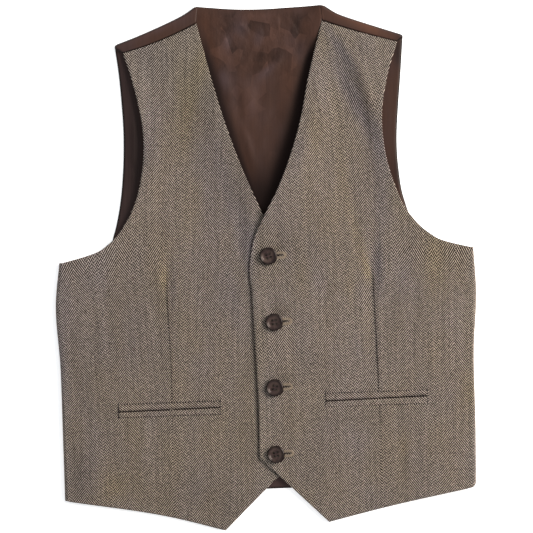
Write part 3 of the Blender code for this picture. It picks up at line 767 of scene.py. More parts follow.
def spread(width, near_start, near_end, cells):
    """Distances of columns across parts of the given widths, closer together at their ends."""
    width = width[:, None]
    first = near_start[-1] if near_start else 0
    last = near_end[-1] if near_end else 0
    columns = [first + np.arange(cells + 1) / cells * (width - first - last)]
    if near_start:
        columns.insert(0, np.tile([0.0, *near_start[:-1]], (len(width), 1)))
    if near_end:
        columns.append(width - np.array([*near_end[-2::-1], 0]))
    return np.hstack(columns)


def front_columns(named):
    """(x, stations) of the columns in each row, from X of its outer edge, dart, point and inner
    edge. A station is 0 at the outer edge, 1 at the dart, 2 at the point, 3 at the inner edge."""
    parts = (
        (NEAR_EDGE, NEAR_DART, OUTER_CELLS),
        (NEAR_DART, (), MIDDLE_CELLS),
        ((), NEAR_EDGE, INNER_CELLS),
    )
    xs, stations = [], []
    for k, (near_start, near_end, cells) in enumerate(parts):
        width = named[:, k + 1] - named[:, k]
        distance = spread(np.abs(width), near_start, near_end, cells)[:, min(k, 1) :]
        xs.append(named[:, k : k + 1] + np.sign(width)[:, None] * distance)
        stations.append(k + distance / np.abs(width)[:, None])
    return np.hstack(xs), np.hstack(stations)


def lifted(lifts, reach, y, from_edge):
    """How far an edge's lift raises the cloth at height y and a distance from the edge."""
    amount = curve([-lift.y for lift in lifts], [lift.amount for lift in lifts], np.ravel(-y))
    inside = (y < lifts[0].y) & (y > lifts[-1].y)
    amount = np.where(inside, np.clip(amount.reshape(y.shape), 0, None), 0)
    return amount * ease(1 - from_edge / reach)


def front_grid(front):
    """The face of a front's cloth as an array of points, rows by columns, from its outer edge."""
    rows, places = front_rows(front), section_places(front)
    flare = place_of(front, "armhole flare")
    fold = between(rows, flare, place_of(front, "underarm"))
    outer = outer_edge(front, rows)
    outer[:, 0] -= front.side * fold * SIDE_HEIGHT / 2
    inner = curve(places, down_front(front, "inner_x", "inner_y"), rows)
    middle = curve(places, down_front(front, "dart_x", "point_x"), rows)
    x, stations = front_columns(np.column_stack([outer[:, 0], middle, inner[:, 0]]))
    share = (x - outer[:, :1]) / (inner[:, :1] - outer[:, :1])
    y = outer[:, 1:] + share * (inner[:, 1:] - outer[:, 1:])
    yoke = 1 - between(rows, rows[0], places[1])
    y -= yoke[:, None] * seam_sag(front, share)
    # The hem leaves the straight section: it sinks past the dart to the point and rises again.
    foot = front.sections[-1]
    hem_x = np.array([foot.outer_x, foot.dart_x, foot.point_x, foot.inner_x])
    hem_y = [foot.outer_y, front.hem_dart_y, front.hem_point_y, foot.inner_y]
    hem = curve(front.side * -hem_x, hem_y, front.side * -x.ravel(), corners=[2])
    straight = outer[-1, 1] + share * (inner[-1, 1] - outer[-1, 1])
    high_hip = place_of(front, "high hip")
    dip = np.clip((rows - high_hip) / (rows[-1] - high_hip), 0, 1) ** 2
    y += dip[:, None] * (hem.reshape(x.shape) - straight)
    level_places = [place_of(front, level.name) for level in front.levels]
    by_row = curve(level_places, [level[1:] for level in front.levels], rows)
    z = np.array([curve(range(4), row, at) for row, at in zip(by_row, stations)])
    for crease in front.creases:
        z += crease_height(crease, x, y)
    z += lifted(front.neck_lift, LIFT_REACH, y, front.side * (x - inner[:, :1]))
    z += lifted(front.armhole_lift, ARMHOLE_REACH, y, front.side * (outer[:, :1] - x))
    above = 1 - between(y, *LOW_GROOVE_Y)
    groove = DART_GROOVE * ease((front.dart_tip_y - y) / DART_FADE)
    in_dart = np.arange(x.shape[1]) == DART_COLUMN
    z -= in_dart * groove * (LOW_GROOVE + (1 - LOW_GROOVE) * above)
    return np.stack([x, y, z], axis=2)


def side_fold(front, grid, rows):
    """Columns of the half-round down the side and the strip under it, each with its distance
    along the cloth."""
    radius = SIDE_HEIGHT / 2
    columns = []
    for k in range(1, FOLD_STEPS + 1):
        angle = math.pi * k / FOLD_STEPS
        column = grid[rows, 0]
        column[:, 0] += front.side * radius * math.sin(angle)
        column[:, 2] = radius + radius * math.cos(angle)
        columns.append((column, radius * angle))
    turned = column.copy()
    turned[:, 0] -= front.side * SIDE_TURN
    return [*columns, (turned, math.pi * radius + SIDE_TURN)]


def grain_of(front, x, y, edge):
    """(across, along) of points in the cloth's own millimetres, counted from the charted peak, as
    it runs on the dart's "inner_x" or "outer_x" side."""
    knots = [-row.y for row in front.grain]
    peaks = [getattr(row, edge) for row in front.grain]
    step = 0.5
    peak = curve(knots, peaks, np.ravel(-y)).reshape(y.shape)
    higher = curve(knots, peaks, np.ravel(-y - step)).reshape(y.shape)
    return x - peak, y + (higher - peak) / step * (x - peak)


def rounding(distance, radius):
    """How much thinner each side of a wall is, at a distance from its rounded edge."""
    inside = np.clip(radius - distance, 0, radius)
    return radius - np.sqrt(radius**2 - inside**2)


def edge_thinning(front, grid):
    """The rounding of a front's neck, front edge, hem, armhole and shoulder."""
    rows, x = front_rows(front), grid[:, :, 0]
    from_row_ends = np.minimum(rows - rows[0], rows[-1] - rows)[:, None]
    thin = rounding(np.minimum(np.abs(x - x[:, -1:]), from_row_ends), FRONT_ROUND)
    open_edge = 1 - between(rows, place_of(front, "armhole flare"), place_of(front, "underarm"))
    return np.maximum(thin, rounding(np.abs(x - x[:, :1]), FRONT_ROUND) * open_edge[:, None])


def sheet_quads(index, places):
    """Quads between neighbouring rows of point numbers, and the places of their corners."""

    def corners(values):
        around = [values[:-1, :-1], values[1:, :-1], values[1:, 1:], values[:-1, 1:]]
        return np.stack(around, axis=2)

    quads = corners(index)
    whole = (quads >= 0).all(axis=2)
    return quads[whole], corners(places)[whole]


def front_sheet(front):
    """(points, faces, cloth places of each face's corners, thinning) of a front's outer face."""
    grid, rows = front_grid(front), front_rows(front)
    folded = np.flatnonzero(rows >= place_of(front, "underarm") - NEAR)
    points, thinning = [grid.reshape(-1, 3)], [edge_thinning(front, grid).ravel()]
    count = len(points[0])
    index = np.arange(count).reshape(grid.shape[:2])
    unrolled, level_y = grid[:, :, 0], grid[:, :, 1]
    for column, reach in side_fold(front, grid, folded):
        numbers, flat_x = np.full((len(rows), 1), -1), np.full((len(rows), 1), np.nan)
        numbers[folded, 0] = count + np.arange(len(folded))
        flat_x[folded, 0] = grid[folded, 0, 0] + front.side * reach
        index, unrolled = np.hstack([numbers, index]), np.hstack([flat_x, unrolled])
        level_y = np.hstack([level_y[:, :1], level_y])
        points.append(column)
        thinning.append(rounding(rows[-1] - rows[folded], FRONT_ROUND))
        count += len(folded)
    dart = index.shape[1] - grid.shape[1] + DART_COLUMN
    faces, places = [], []
    for edge, part in (("outer_x", slice(0, dart + 1)), ("inner_x", slice(dart, None))):
        cloth = np.stack(grain_of(front, unrolled[:, part], level_y[:, part], edge), axis=2)
        quads, corners = sheet_quads(index[:, part], cloth)
        faces.append(quads)
        places.append(corners)
    faces, places = np.concatenate(faces), np.concatenate(places)
    if front.side > 0:
        faces, places = faces[:, ::-1], places[:, ::-1]
    return np.concatenate(points), faces, places, np.concatenate(thinning)


# --- Meshes ---


def linked(name, data):
    """A new object of the scene."""
    found = bpy.data.objects.new(name, data)
    bpy.context.scene.collection.objects.link(found)
    return found


def evaluated(found):
    """The mesh that an object's modifiers or its curve make."""
    bpy.context.view_layer.update()
    graph = bpy.context.evaluated_depsgraph_get()
    return bpy.data.meshes.new_from_object(found.evaluated_get(graph), depsgraph=graph)


def bake_modifiers(found):
    """Replaces the object's mesh by what its modifiers make of it."""
    made, old = evaluated(found), found.data
    found.modifiers.clear()
    found.data = made
    bpy.data.meshes.remove(old)
    made.name = found.name


def sheet_object(name, points, faces, places, material):
    """A mesh object of quads, with the cloth's places in millimetres as its UV map."""
    mesh = bpy.data.meshes.new(name)
    mesh.from_pydata((points * MM).tolist(), [], faces.tolist())
    cloth_map = mesh.uv_layers.new(name="cloth")
    cloth_map.data.foreach_set("uv", places.reshape(-1).astype(np.float32))
    mesh.materials.append(material)
    mesh.shade_smooth()
    return linked(name, mesh)


def mesh_object(name, bm, material):
    mesh = bpy.data.meshes.new(name)
    bm.to_mesh(mesh)
    bm.free()
    mesh.materials.append(material)
    return linked(name, mesh)


def guide_object(name, runs):
    """A curve through each run of (x, y, z), for a mesh to be made along."""
    data = bpy.data.curves.new(name, "CURVE")
    data.dimensions = "3D"
    for run in runs:
        spline = data.splines.new("POLY")
        spline.points.add(len(run) - 1)
        for point, (x, y, z) in zip(spline.points, run):
            point.co = (x * MM, y * MM, z * MM, 1)
    return linked(name + "_guide", data)


def made_along(guide, name):
    """The plain mesh object that a guide makes, in the guide's place."""
    mesh, data = evaluated(guide), guide.data
    bpy.data.objects.remove(guide)
    bpy.data.curves.remove(data)
    mesh.name = name
    return linked(name, mesh)


def tube_object(name, runs, radius, material):
    """Closed round tubes along runs of (x, y, z), as one mesh."""
    guide = guide_object(name, runs)
    guide.data.bevel_depth = radius * MM
    guide.data.bevel_resolution = 1
    guide.data.use_fill_caps = True
    tubes = made_along(guide, name)
    tubes.data.materials.clear()
    tubes.data.materials.append(material)
    tubes.data.shade_smooth()
    return tubes


def points_of(mesh):
    co = np.empty(len(mesh.vertices) * 3, np.float32)
    mesh.vertices.foreach_get("co", co)
    return co.reshape(-1, 3).astype(float) / MM


def set_points(mesh, points):
    mesh.vertices.foreach_set("co", (points * MM).astype(np.float32).reshape(-1))
    mesh.update()


def add_wall(cloth, wall, thinning=None):
    """Gives a sheet its thickness, on its inside. The thinning rounds the edges of the wall."""
    solidify = cloth.modifiers.new("wall", "SOLIDIFY")
    solidify.thickness = wall * MM
    solidify.offset = -1
    solidify.use_quality_normals = True
    bake_modifiers(cloth)
    if thinning is not None:
        points = points_of(cloth.data)
        face, lining = points[: len(thinning)], points[len(thinning) :]
        inwards = (lining - face) / wall * thinning[:, None]
        set_points(cloth.data, np.vstack([face + inwards, lining - inwards]))


def edge_share(mesh, start, end):
    """For each point, 0 where the cloth faces up and 1 where it has turned away at an edge. The
    start and the end are Z of the normals between which it turns."""
    normals = np.empty(len(mesh.vertices) * 3, np.float32)
    mesh.vertex_normals.foreach_get("vector", normals)
    up = normals[2::3]
    return np.clip((start - up) / (start - end), 0, 1) * (up > UNDERSIDE)


def add_values(cloth, **named):
    """Gives a mesh a number for each of its points, which its material reads by name."""
    for name, values in named.items():
        attribute = cloth.data.attributes.new(name, "FLOAT", "POINT")
        attribute.data.foreach_set("value", values.astype(np.float32))


class Face:
    """The upper face of a cloth, in millimetres."""

    def __init__(self, name):
        mesh = bpy.data.objects[name].data
        corners = [v.co for v in mesh.vertices]
        self.tree = BVHTree.FromPolygons(corners, [p.vertices for p in mesh.polygons])

    def height(self, x, y):
        found = self.tree.ray_cast(Vector((x * MM, y * MM, 1)), Vector((0, 0, -1)))[0]
        return found.z / MM

    def along(self, points, above=0):
        return [(x, y, self.height(x, y) + above) for x, y in points]


def wear(piece, slot, *nodes):
    """Puts a finished piece on the body, in place of the CAD nodes that it stands for."""
    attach(piece, BODY)
    if nodes:
        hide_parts(*nodes)
    return piece


# --- Materials ---


class Nodes:
    """Adds nodes to a tree, so that a formula reads in order."""

    def __init__(self, tree):
        self.tree = tree

    def add(self, kind, feeds=(), **settings):
        """A node with its settings, and with its inputs fed by name or number."""
        node = self.tree.nodes.new(kind)
        for name, value in settings.items():
            setattr(node, name, value)
        for key, value in dict(feeds).items():
            self.feed(node.inputs[key], value)
        return node

    def feed(self, socket, value):
        if isinstance(value, bpy.types.NodeSocket):
            self.tree.links.new(value, socket)
        elif socket.type == "RGBA":
            socket.default_value = (*value[:3], 1)
        else:
            socket.default_value = value

    def math(self, operation, *values):
        return self.add("ShaderNodeMath", enumerate(values), operation=operation).outputs[0]

    def plus(self, a, b):
        return self.math("ADD", a, b)

    def minus(self, a, b):
        return self.math("SUBTRACT", a, b)

    def times(self, a, *factors):
        for factor in factors:
            a = self.math("MULTIPLY", a, factor)
        return a

    def join(self, x, y, z=0):
        return self.add("ShaderNodeCombineXYZ", enumerate((x, y, z))).outputs[0]

    def mix(self, factor, a, b, blend="MIX"):
        feeds = {0: factor, 6: a, 7: b}
        return self.add("ShaderNodeMix", feeds, data_type="RGBA", blend_type=blend).outputs[2]

    def lighter(self, colour, amount):
        """A colour times a number."""
        grey = self.add("ShaderNodeCombineColor", enumerate([amount] * 3)).outputs[0]
        return self.mix(1, colour, grey, "MULTIPLY")

    def ramp(self, value, low, high, to_low=0, to_high=1):
        """Turns a value from low to high into one from to_low to to_high."""
        feeds = enumerate((value, low, high, to_low, to_high))
        return self.add("ShaderNodeMapRange", feeds).outputs[0]

    def choose(self, condition, yes, no):
        """yes where the condition is 1, and no where it is 0."""
        return self.plus(no, self.times(condition, self.minus(yes, no)))

    def attribute(self, name):
        return self.add("ShaderNodeAttribute", attribute_name=name).outputs["Fac"]

    def on_object(self, scale):
        place = self.add("ShaderNodeTexCoord").outputs["Object"]
        return self.add("ShaderNodeMapping", {"Vector": place, "Scale": scale}).outputs[0]

    def noise(self, place, scale, detail, roughness=0.5):
        """Noise at a place, which may be given as the object's own with a scale for each axis."""
        if not isinstance(place, bpy.types.NodeSocket):
            place = self.on_object(place)
        feeds = {"Vector": place, "Scale": scale, "Detail": detail, "Roughness": roughness}
        return self.add("ShaderNodeTexNoise", feeds).outputs["Fac"]

    def bump(self, height, strength, distance, below=None):
        """The normals of a surface with this relief, on that of another bump below it."""
        feeds = {"Height": height, "Strength": strength, "Distance": distance}
        if below:
            feeds["Normal"] = below
        return self.add("ShaderNodeBump", feeds).outputs[0]

    def finish(self, **inputs):
        """Feeds the material's shader, with _ for the blanks in its inputs' names."""
        shader = self.tree.nodes["Principled BSDF"]
        for name, value in inputs.items():
            self.feed(shader.inputs[name.replace("_", " ")], value)


def new_material(name):
    material = bpy.data.materials.new(name)
    material.use_nodes = True
    return material, Nodes(material.node_tree)


def add_sockets(tree, in_out, kind, *names):
    for name in names:
        tree.interface.new_socket(name, in_out=in_out, socket_type=f"NodeSocket{kind}")


FLOAT_PICKS = 4  # picks before the twill's step comes round again
CUT_PICKS = 2  # by which a falling arm starts on, which cuts the lines where two arms meet


def herringbone_group(weave):
    """A node group: which yarn shows at a place in the cloth, and how high it stands."""
    tree = bpy.data.node_groups.new("herringbone", "ShaderNodeTree")
    add_sockets(tree, "INPUT", "Float", "Ends", "Picks")
    add_sockets(tree, "OUTPUT", "Float", "Warp up", "Relief", "End", "Float")
    nodes = Nodes(tree)

    def arm(place, ends):
        """The twill's step, which climbs along one arm and falls along the next, and where it
        falls."""
        turn = ends - 0.5
        from_turn = nodes.math("ABSOLUTE", nodes.minus(place, turn))
        return nodes.minus(turn, from_turn), nodes.math("GREATER_THAN", place, turn)

    def rounded(value):
        return nodes.math("SINE", nodes.times(nodes.math("FRACT", value), math.pi))

    given = nodes.add("NodeGroupInput").outputs
    ends, picks = given["Ends"], given["Picks"]
    wide, narrow = weave.wide_ends, weave.narrow_ends
    end = nodes.math("FLOOR", ends)
    in_repeat = nodes.math("FLOORED_MODULO", end, 2 * wide + narrow * weave.narrow_arms)
    in_pair = nodes.math("FLOORED_MODULO", nodes.minus(in_repeat, 2 * wide), 2 * narrow)
    wide_step, wide_falls = arm(in_repeat, wide)
    narrow_step, narrow_falls = arm(in_pair, narrow)
    is_wide = nodes.math("LESS_THAN", in_repeat, 2 * wide)
    falls = nodes.choose(is_wide, wide_falls, narrow_falls)
    step = nodes.choose(is_wide, wide_step, narrow_step)
    step = nodes.plus(step, nodes.times(falls, CUT_PICKS))
    climbed = nodes.minus(picks, step)
    turn = nodes.math("FLOORED_MODULO", climbed, FLOAT_PICKS)
    warp_up = nodes.math("LESS_THAN", turn, weave.float_length)
    # Each yarn is round, and a float also dips at both ends, where it goes under.
    along = nodes.math("SINE", nodes.times(turn, math.pi / weave.float_length))
    bead = nodes.times(nodes.math("SQRT", rounded(ends)), along)
    weft = nodes.times(nodes.minus(1, warp_up), rounded(picks))
    relief = nodes.plus(nodes.times(warp_up, bead), weft)
    place = nodes.join(end, nodes.math("FLOOR", nodes.math("DIVIDE", climbed, FLOAT_PICKS)))
    own = nodes.add("ShaderNodeTexWhiteNoise", {"Vector": place}, noise_dimensions="2D")
    found = {"Warp up": warp_up, "Relief": relief, "End": end, "Float": own.outputs["Value"]}
    nodes.add("NodeGroupOutput", found)
    return tree


WARM_TINT = (1.06, 1.025, 0.83)
COOL_TINT = (0.955, 0.985, 1.16)


def tweed_material(weave):
    """Wool herringbone: mottled yarns, faint streaks down the warp, warm and cool clouds, and
    painted light and shade read from the cloth's light and seam values.
    """
    material, nodes = new_material("herringbone tweed")
    cloth_map = nodes.add("ShaderNodeUVMap", uv_map="cloth").outputs[0]
    place = nodes.add("ShaderNodeSeparateXYZ", {0: cloth_map}).outputs
    ends = nodes.math("DIVIDE", place["X"], weave.end_pitch / MM)
    ends = nodes.plus(ends, weave.wide_ends + 0.5)
    picks = nodes.math("DIVIDE", place["Y"], weave.pick_pitch / MM)
    feeds, group = {"Ends": ends, "Picks": picks}, herringbone_group(weave)
    chart = nodes.add("ShaderNodeGroup", feeds, node_tree=group).outputs

    spot = nodes.join(chart["End"], nodes.times(picks, 0.22))
    mottle = nodes.noise(spot, scale=1, detail=1)
    spot = nodes.join(nodes.times(ends, 0.23), nodes.times(picks, 0.006))
    streak = nodes.noise(spot, scale=1, detail=3, roughness=0.6)
    cloud = nodes.noise((1, 0.42, 1), scale=42, detail=2, roughness=0.55)
    patch = nodes.noise((1, 0.6, 1), scale=17, detail=1)
    ragged = nodes.noise((0.3, 1, 0.3), scale=420, detail=2, roughness=0.6)

    warmth = nodes.plus(nodes.attribute("warmth"), nodes.ramp(cloud, 0.3, 0.7, 0.35, -0.35))
    light = nodes.mix(nodes.ramp(warmth, -1, 1), COOL_TINT, WARM_TINT)
    light = nodes.mix(1, light, weave.light_yarn, "MULTIPLY")
    # Where a light float dips at its ends and sides, its colour fades to the dark weft's: partly
    # the weft showing, and partly painted shade on the round of the yarn.
    yarn = nodes.mix(nodes.times(chart["Warp up"], chart["Relief"]), weave.dark_yarn, light)
    # The seam value is painted shade along the dart and beside the placket. The light value is
    # painted light and shade from the patches and edges, partly the cloth's own tone.
    seam = nodes.times(nodes.attribute("seam"), nodes.ramp(ragged, 0.35, 0.6, 0.5, 1))
    value = nodes.times(
        nodes.ramp(mottle, 0.3, 0.7, 0.72, 1.28),
        nodes.ramp(chart["Float"], 0, 1, 0.72, 1.28),
        nodes.ramp(streak, 0.3, 0.7, 0.8, 1.2),
        nodes.ramp(patch, 0.3, 0.7, 0.92, 1.08),
        nodes.plus(nodes.attribute("light"), 1),
        nodes.minus(1, seam),
    )
    nodes.finish(
        Base_Color=nodes.lighter(yarn, value),
        Roughness=0.95,
        Specular_IOR_Level=0.1,
        Sheen_Weight=0.03,
        Sheen_Roughness=0.5,
        Normal=nodes.bump(chart["Relief"], strength=0.5, distance=weave.relief),
    )
    return material


SATIN_PAINTED_SHADE = (0.0065, 0.0030, 0.0027)


def satin_material(satin):
    """Lining satin: soft clouds of a warmer brown, a low sheen and a fine irregular surface, with
    painted sheen and shade on its facets and patches, and painted shadow where the fronts shade it.
    """
    material, nodes = new_material("brown satin")
    cloud = nodes.noise((1, 0.55, 1), scale=60, detail=3, roughness=0.6)
    warmth = nodes.plus(nodes.attribute("warmth"), nodes.ramp(cloud, 0.3, 0.7, -0.4, 0.2))
    colour = nodes.mix(nodes.ramp(warmth, 0, 1), satin.colour, satin.warm)
    colour = nodes.mix(nodes.ramp(warmth, 0, -1), colour, satin.cool)
    # The crumpled neck breaks into small facets, and ridges run between them. The facets are
    # painted lighter and darker, as painted sheen and shade. The ridges are a bump.
    crumple = nodes.attribute("crumple")
    facet = nodes.noise((1, 0.7, 1), scale=70, detail=4, roughness=0.6)
    ridge = nodes.math("ABSOLUTE", nodes.minus(facet, 0.5))
    feeds = {"Scale": 85, "Vector": nodes.on_object((1, 0.75, 1))}
    cell = nodes.add("ShaderNodeTexVoronoi", feeds).outputs["Color"]
    facet_sheen_and_shade = nodes.plus(
        nodes.ramp(cell, 0.25, 0.75, -0.3, 0.36), nodes.ramp(facet, 0.3, 0.7, -0.28, 0.42)
    )
    streak = nodes.noise((1, 0.05, 1), scale=700, detail=1)
    # Painted light and shade: the patches' and edges' light values, with the facets' painted sheen
    # and shade.
    light = nodes.plus(nodes.attribute("light"), nodes.ramp(streak, 0.3, 0.7, 0.93, 1.07))
    light = nodes.plus(light, nodes.times(crumple, facet_sheen_and_shade))
    # Painted shadow of the fronts on the lining: where the depth value is high, the colour goes
    # over to the painted shade colour, and the satin turns matt.
    depth = nodes.attribute("depth")
    colour = nodes.mix(nodes.times(depth, 0.95), nodes.lighter(colour, light), SATIN_PAINTED_SHADE)
    folds = nodes.times(ridge, crumple, 9)
    swell = nodes.plus(nodes.noise((1, 0.4, 1), scale=160, detail=2), folds)
    ripple = nodes.bump(swell, strength=0.35, distance=0.4 * MM)
    thread = nodes.noise((1, 0.08, 1), scale=2600, detail=1)
    nodes.finish(
        Base_Color=colour,
        Roughness=nodes.ramp(depth, 0, 1, satin.roughness, 0.8),
        Specular_IOR_Level=0.2,
        Specular_Tint=satin.shine,
        Normal=nodes.bump(thread, strength=0.12, distance=0.05 * MM, below=ripple),
    )
    return material


def button_material(button):
    """Polished resin with paler clouds, as imitation horn has."""
    material, nodes = new_material("dark brown button")
    cloud = nodes.noise((1, 1, 0.4), scale=230, detail=3, roughness=0.6)
    colour = nodes.mix(nodes.ramp(cloud, 0.42, 0.72), button.colour, button.cloud)
    # Painted light on the dish and painted shade on the rim, from the light value.
    colour = nodes.lighter(colour, nodes.plus(nodes.attribute("light"), 1))
    tint = (1, 0.86, 0.78)
    nodes.finish(Base_Color=colour, Roughness=0.17, Specular_IOR_Level=0.2, Specular_Tint=tint)
    return material


def thread_material(name, colour):
    """Matt sewing thread, with its twist as fine ridges and painted shade between them."""
    material, nodes = new_material(name)
    twist = nodes.noise((1, 1, 1), scale=1900, detail=2)
    dark = [THREAD_SHADE * part for part in colour]
    shown = nodes.mix(nodes.ramp(twist, 0.35, 0.65), dark, colour)
    ridges = nodes.bump(twist, strength=0.3, distance=0.05 * MM)
    nodes.finish(Base_Color=shown, Roughness=0.75, Normal=ridges)
    return material


def opening_material():
    """The dark inside of a buttonhole or a pocket's mouth, where little light comes."""
    material, nodes = new_material("inside of an opening")
    lint = nodes.ramp(nodes.noise((1, 1, 1), scale=1500, detail=2), 0.4, 0.7)
    colour = nodes.mix(lint, OPENING_DARK, OPENING_LINT)
    nodes.finish(Base_Color=colour, Roughness=0.95, Specular_IOR_Level=0.1)
    return material


# --- The back ---


def side_seam_x(front, y):
    rows = np.linspace(place_of(front, "underarm"), section_places(front)[-1], SIDE_SAMPLES)
    edge = outer_edge(front, rows)
    inset = SIDE_HEIGHT / 2 + SIDE_TURN + SEAM_GAP
    return float(np.interp(-y, -edge[:, 1], edge[:, 0])) - front.side * inset


def shoulder_lines(shoulder):
    """Per column from the armhole's tip to the neck: fold point, where it faces, seam point."""
    share = np.linspace(0, 1, SHOULDER_CELLS + 1)
    fold = curve(np.linspace(0, 1, len(shoulder.fold)), shoulder.fold, share)
    front = shoulder.front
    neck_lie = 90 - 90 * front.side
    lie = TIP_LIE + (shoulder.lie - TIP_LIE) * ease(share / TIP_SHARE)
    lie += (neck_lie - shoulder.lie) * ease((share - 1 + NECK_SHARE) / NECK_SHARE)
    facing = np.stack([np.cos(np.radians(lie)), np.sin(np.radians(lie))], axis=1)
    outer = down_front(front, "outer_x", "outer_y")[0]
    inner = down_front(front, "inner_x", "inner_y")[0]
    along = (inner - outer) / np.linalg.norm(inner - outer)
    across = np.array([-along[1], along[0]]) * -front.side
    seam = outer + share[:, None] * (inner - outer) + SEAM_GAP * across
    seam[:, 1] -= seam_sag(front, share)
    return fold, facing, seam


def shoulder_fold(shoulder):
    """Rows of points from the half-round's foot over the fold and down to the shoulder seam."""
    radius = SHOULDER_HEIGHT / 2
    fold, facing, seam = shoulder_lines(shoulder)
    foot = fold - radius * facing
    turns = [math.pi * k / FOLD_STEPS for k in range(FOLD_STEPS + 1)]
    rows = [(foot + radius * math.sin(t) * facing, radius - radius * math.cos(t)) for t in turns]
    for k in range(1, STRIP_CELLS + 1):
        rows.append((foot + (seam - foot) * k / STRIP_CELLS, SHOULDER_HEIGHT))
    return [at_height(flat, height) for flat, height in rows]


def at_height(flat, height):
    return np.hstack([flat, np.full((len(flat), 1), float(height))])


def back_grid(top):
    """The back's flat face: its top row is given, and its columns run straight to the hem."""
    ends = [[*top[0, :2], *top[-1, :2]], *[row[1:] for row in BACK_ARMHOLES]]
    for side in BACK_SIDES:
        right_x = side_seam_x(FRONT_RIGHT, side.right_y)
        ends.append((right_x, side.right_y, side_seam_x(FRONT_LEFT, side.left_y), side.left_y))
    ends = np.array(ends)
    places = -(ends[:, 1] + ends[:, 3]) / 2
    underarm = 1 + len(BACK_ARMHOLES)
    steps = [NECK_ROW_STEP] * NECK_SECTIONS
    steps += [BACK_ROW_STEP] * (len(places) - 1 - NECK_SECTIONS)
    rows = np.array(rows_down(places, (ends[:, :2], ends[:, 2:]), steps))
    edges = curve(places, ends, rows, corners=[underarm])
    below_arm = rows >= places[underarm]
    for front, x, y in ((FRONT_RIGHT, 0, 1), (FRONT_LEFT, 2, 3)):
        edges[below_arm, x] = [side_seam_x(front, at) for at in edges[below_arm, y]]
    share = (top[:, 0] - top[0, 0]) / (top[-1, 0] - top[0, 0])
    right, left = edges[:, None, :2], edges[:, None, 2:]
    grid = right + share[None, :, None] * (left - right)
    yoke = 1 - between(rows, places[0], places[2])
    grid += yoke[:, None, None] * (top[:, :2] - grid[0])
    hem = np.clip((rows - places[-2]) / (places[-1] - places[-2]), 0, 1)
    grid[:, :, 1] += hem[:, None] * BACK_HEM_RISE * np.sin(np.pi * share)
    return np.dstack([grid, np.zeros(grid.shape[:2])])


def neck_row(start, end):
    corners = [start[:2], *NECK_CURVE, end[:2]]
    share = np.linspace(0, 1, NECK_CELLS + 1)[1:-1]
    return at_height(curve(np.linspace(0, 1, len(corners)), corners, share), 0)


def back_sheet():
    """(points, faces, places, thinning) of the back's outer face, from both shoulder seams to
    the hem."""
    right = shoulder_fold(SHOULDER_RIGHT)
    left = [row[::-1] for row in shoulder_fold(SHOULDER_LEFT)]
    top = np.vstack([right[0], neck_row(right[0][-1], left[0][0]), left[0]])
    grid = back_grid(top)
    points = [grid.reshape(-1, 3)]
    count = len(points[0])
    index = np.arange(count).reshape(grid.shape[:2])
    for rows in zip(right[1:], left[1:]):
        numbers = np.full((1, len(top)), -1)
        for row, first in zip(rows, (0, len(top) - SHOULDER_CELLS - 1)):
            numbers[0, first : first + len(row)] = count + np.arange(len(row))
            points.append(row)
            count += len(row)
        index = np.vstack([numbers, index])
    points = np.concatenate(points)
    faces, corners = sheet_quads(index, points[np.maximum(index, 0)][:, :, :2])
    missing = np.pad(index < 0, 1, constant_values=True)
    beside = missing[:-2, 1:-1] | missing[2:, 1:-1] | missing[1:-1, :-2] | missing[1:-1, 2:]
    thinning = np.zeros(len(points))
    thinning[index[beside & (index >= 0)]] = BACK_ROUND
    return points, faces[:, ::-1], corners[:, ::-1], thinning


def neck_edges(y):
    """X of the two front edges along the neck, at height y."""
    found = []
    for front in (FRONT_RIGHT, FRONT_LEFT):
        edge_x, edge_y = down_front(front, "inner_x", "inner_y").T
        found.append(curve(-edge_y, edge_x, np.ravel(-y)).reshape(y.shape))
    return found


def neck_share(x, y):
    """1 well inside the open neck, falling to 0 at the fronts' edges."""
    right, left = neck_edges(y)
    inside = np.minimum(x - right, left - x)
    return between(inside, *NECK_EDGE) * between(y, *NECK_FOOT) * between(y, *NECK_TOP)


def strap_share(x, y):
    """1 where the lining climbs to the left shoulder's fold."""
    inside = neck_edges(y)[1] - x
    beside = (1 - between(inside, *STRAP_FOOT)) * between(inside, *STRAP_EDGE)
    return beside * between(y, *STRAP_TOP)


def painted_shade_of(x, y):
    """How deep the lining lies in the shade of the fronts: 1 beside the left front's edge."""
    right, left = neck_edges(y)
    reach = np.interp(y, NECK_SHADE_Y, NECK_SHADE_REACH)
    beside = (1 - ease((left - x - LEFT_SHADE_START) / reach)) * between(y, *LEFT_SHADE_TOP)
    narrow = (1 - between(x - right, *RIGHT_SHADE)) * between(y, *RIGHT_SHADE_TOP)
    foot = 1 - between(y, *FOOT_SHADE)
    in_neck = (y > 0) & (x > right - SHADE_UNDER) & (x < left + SHADE_UNDER)
    return np.clip(np.maximum(np.maximum(beside, narrow), foot), 0, 1) * in_neck


def crease_lining(cloth):
    """Shapes the inside of the back along its creases, and leaves its underside flat."""
    points = points_of(cloth.data)
    x, y, z = points.T
    inside = (z > LINING_LOW) & (z < LINING_HIGH)
    lift = sum(crease_height(crease, x, y) for crease in SATIN_CREASES)
    lift = np.clip(lift + LINING_SWELL * neck_share(x, y), -BACK_WALL / 2, None)
    lift += STRAP_RISE * strap_share(x, y)
    points[inside, 2] += lift[inside]
    set_points(cloth.data, points)


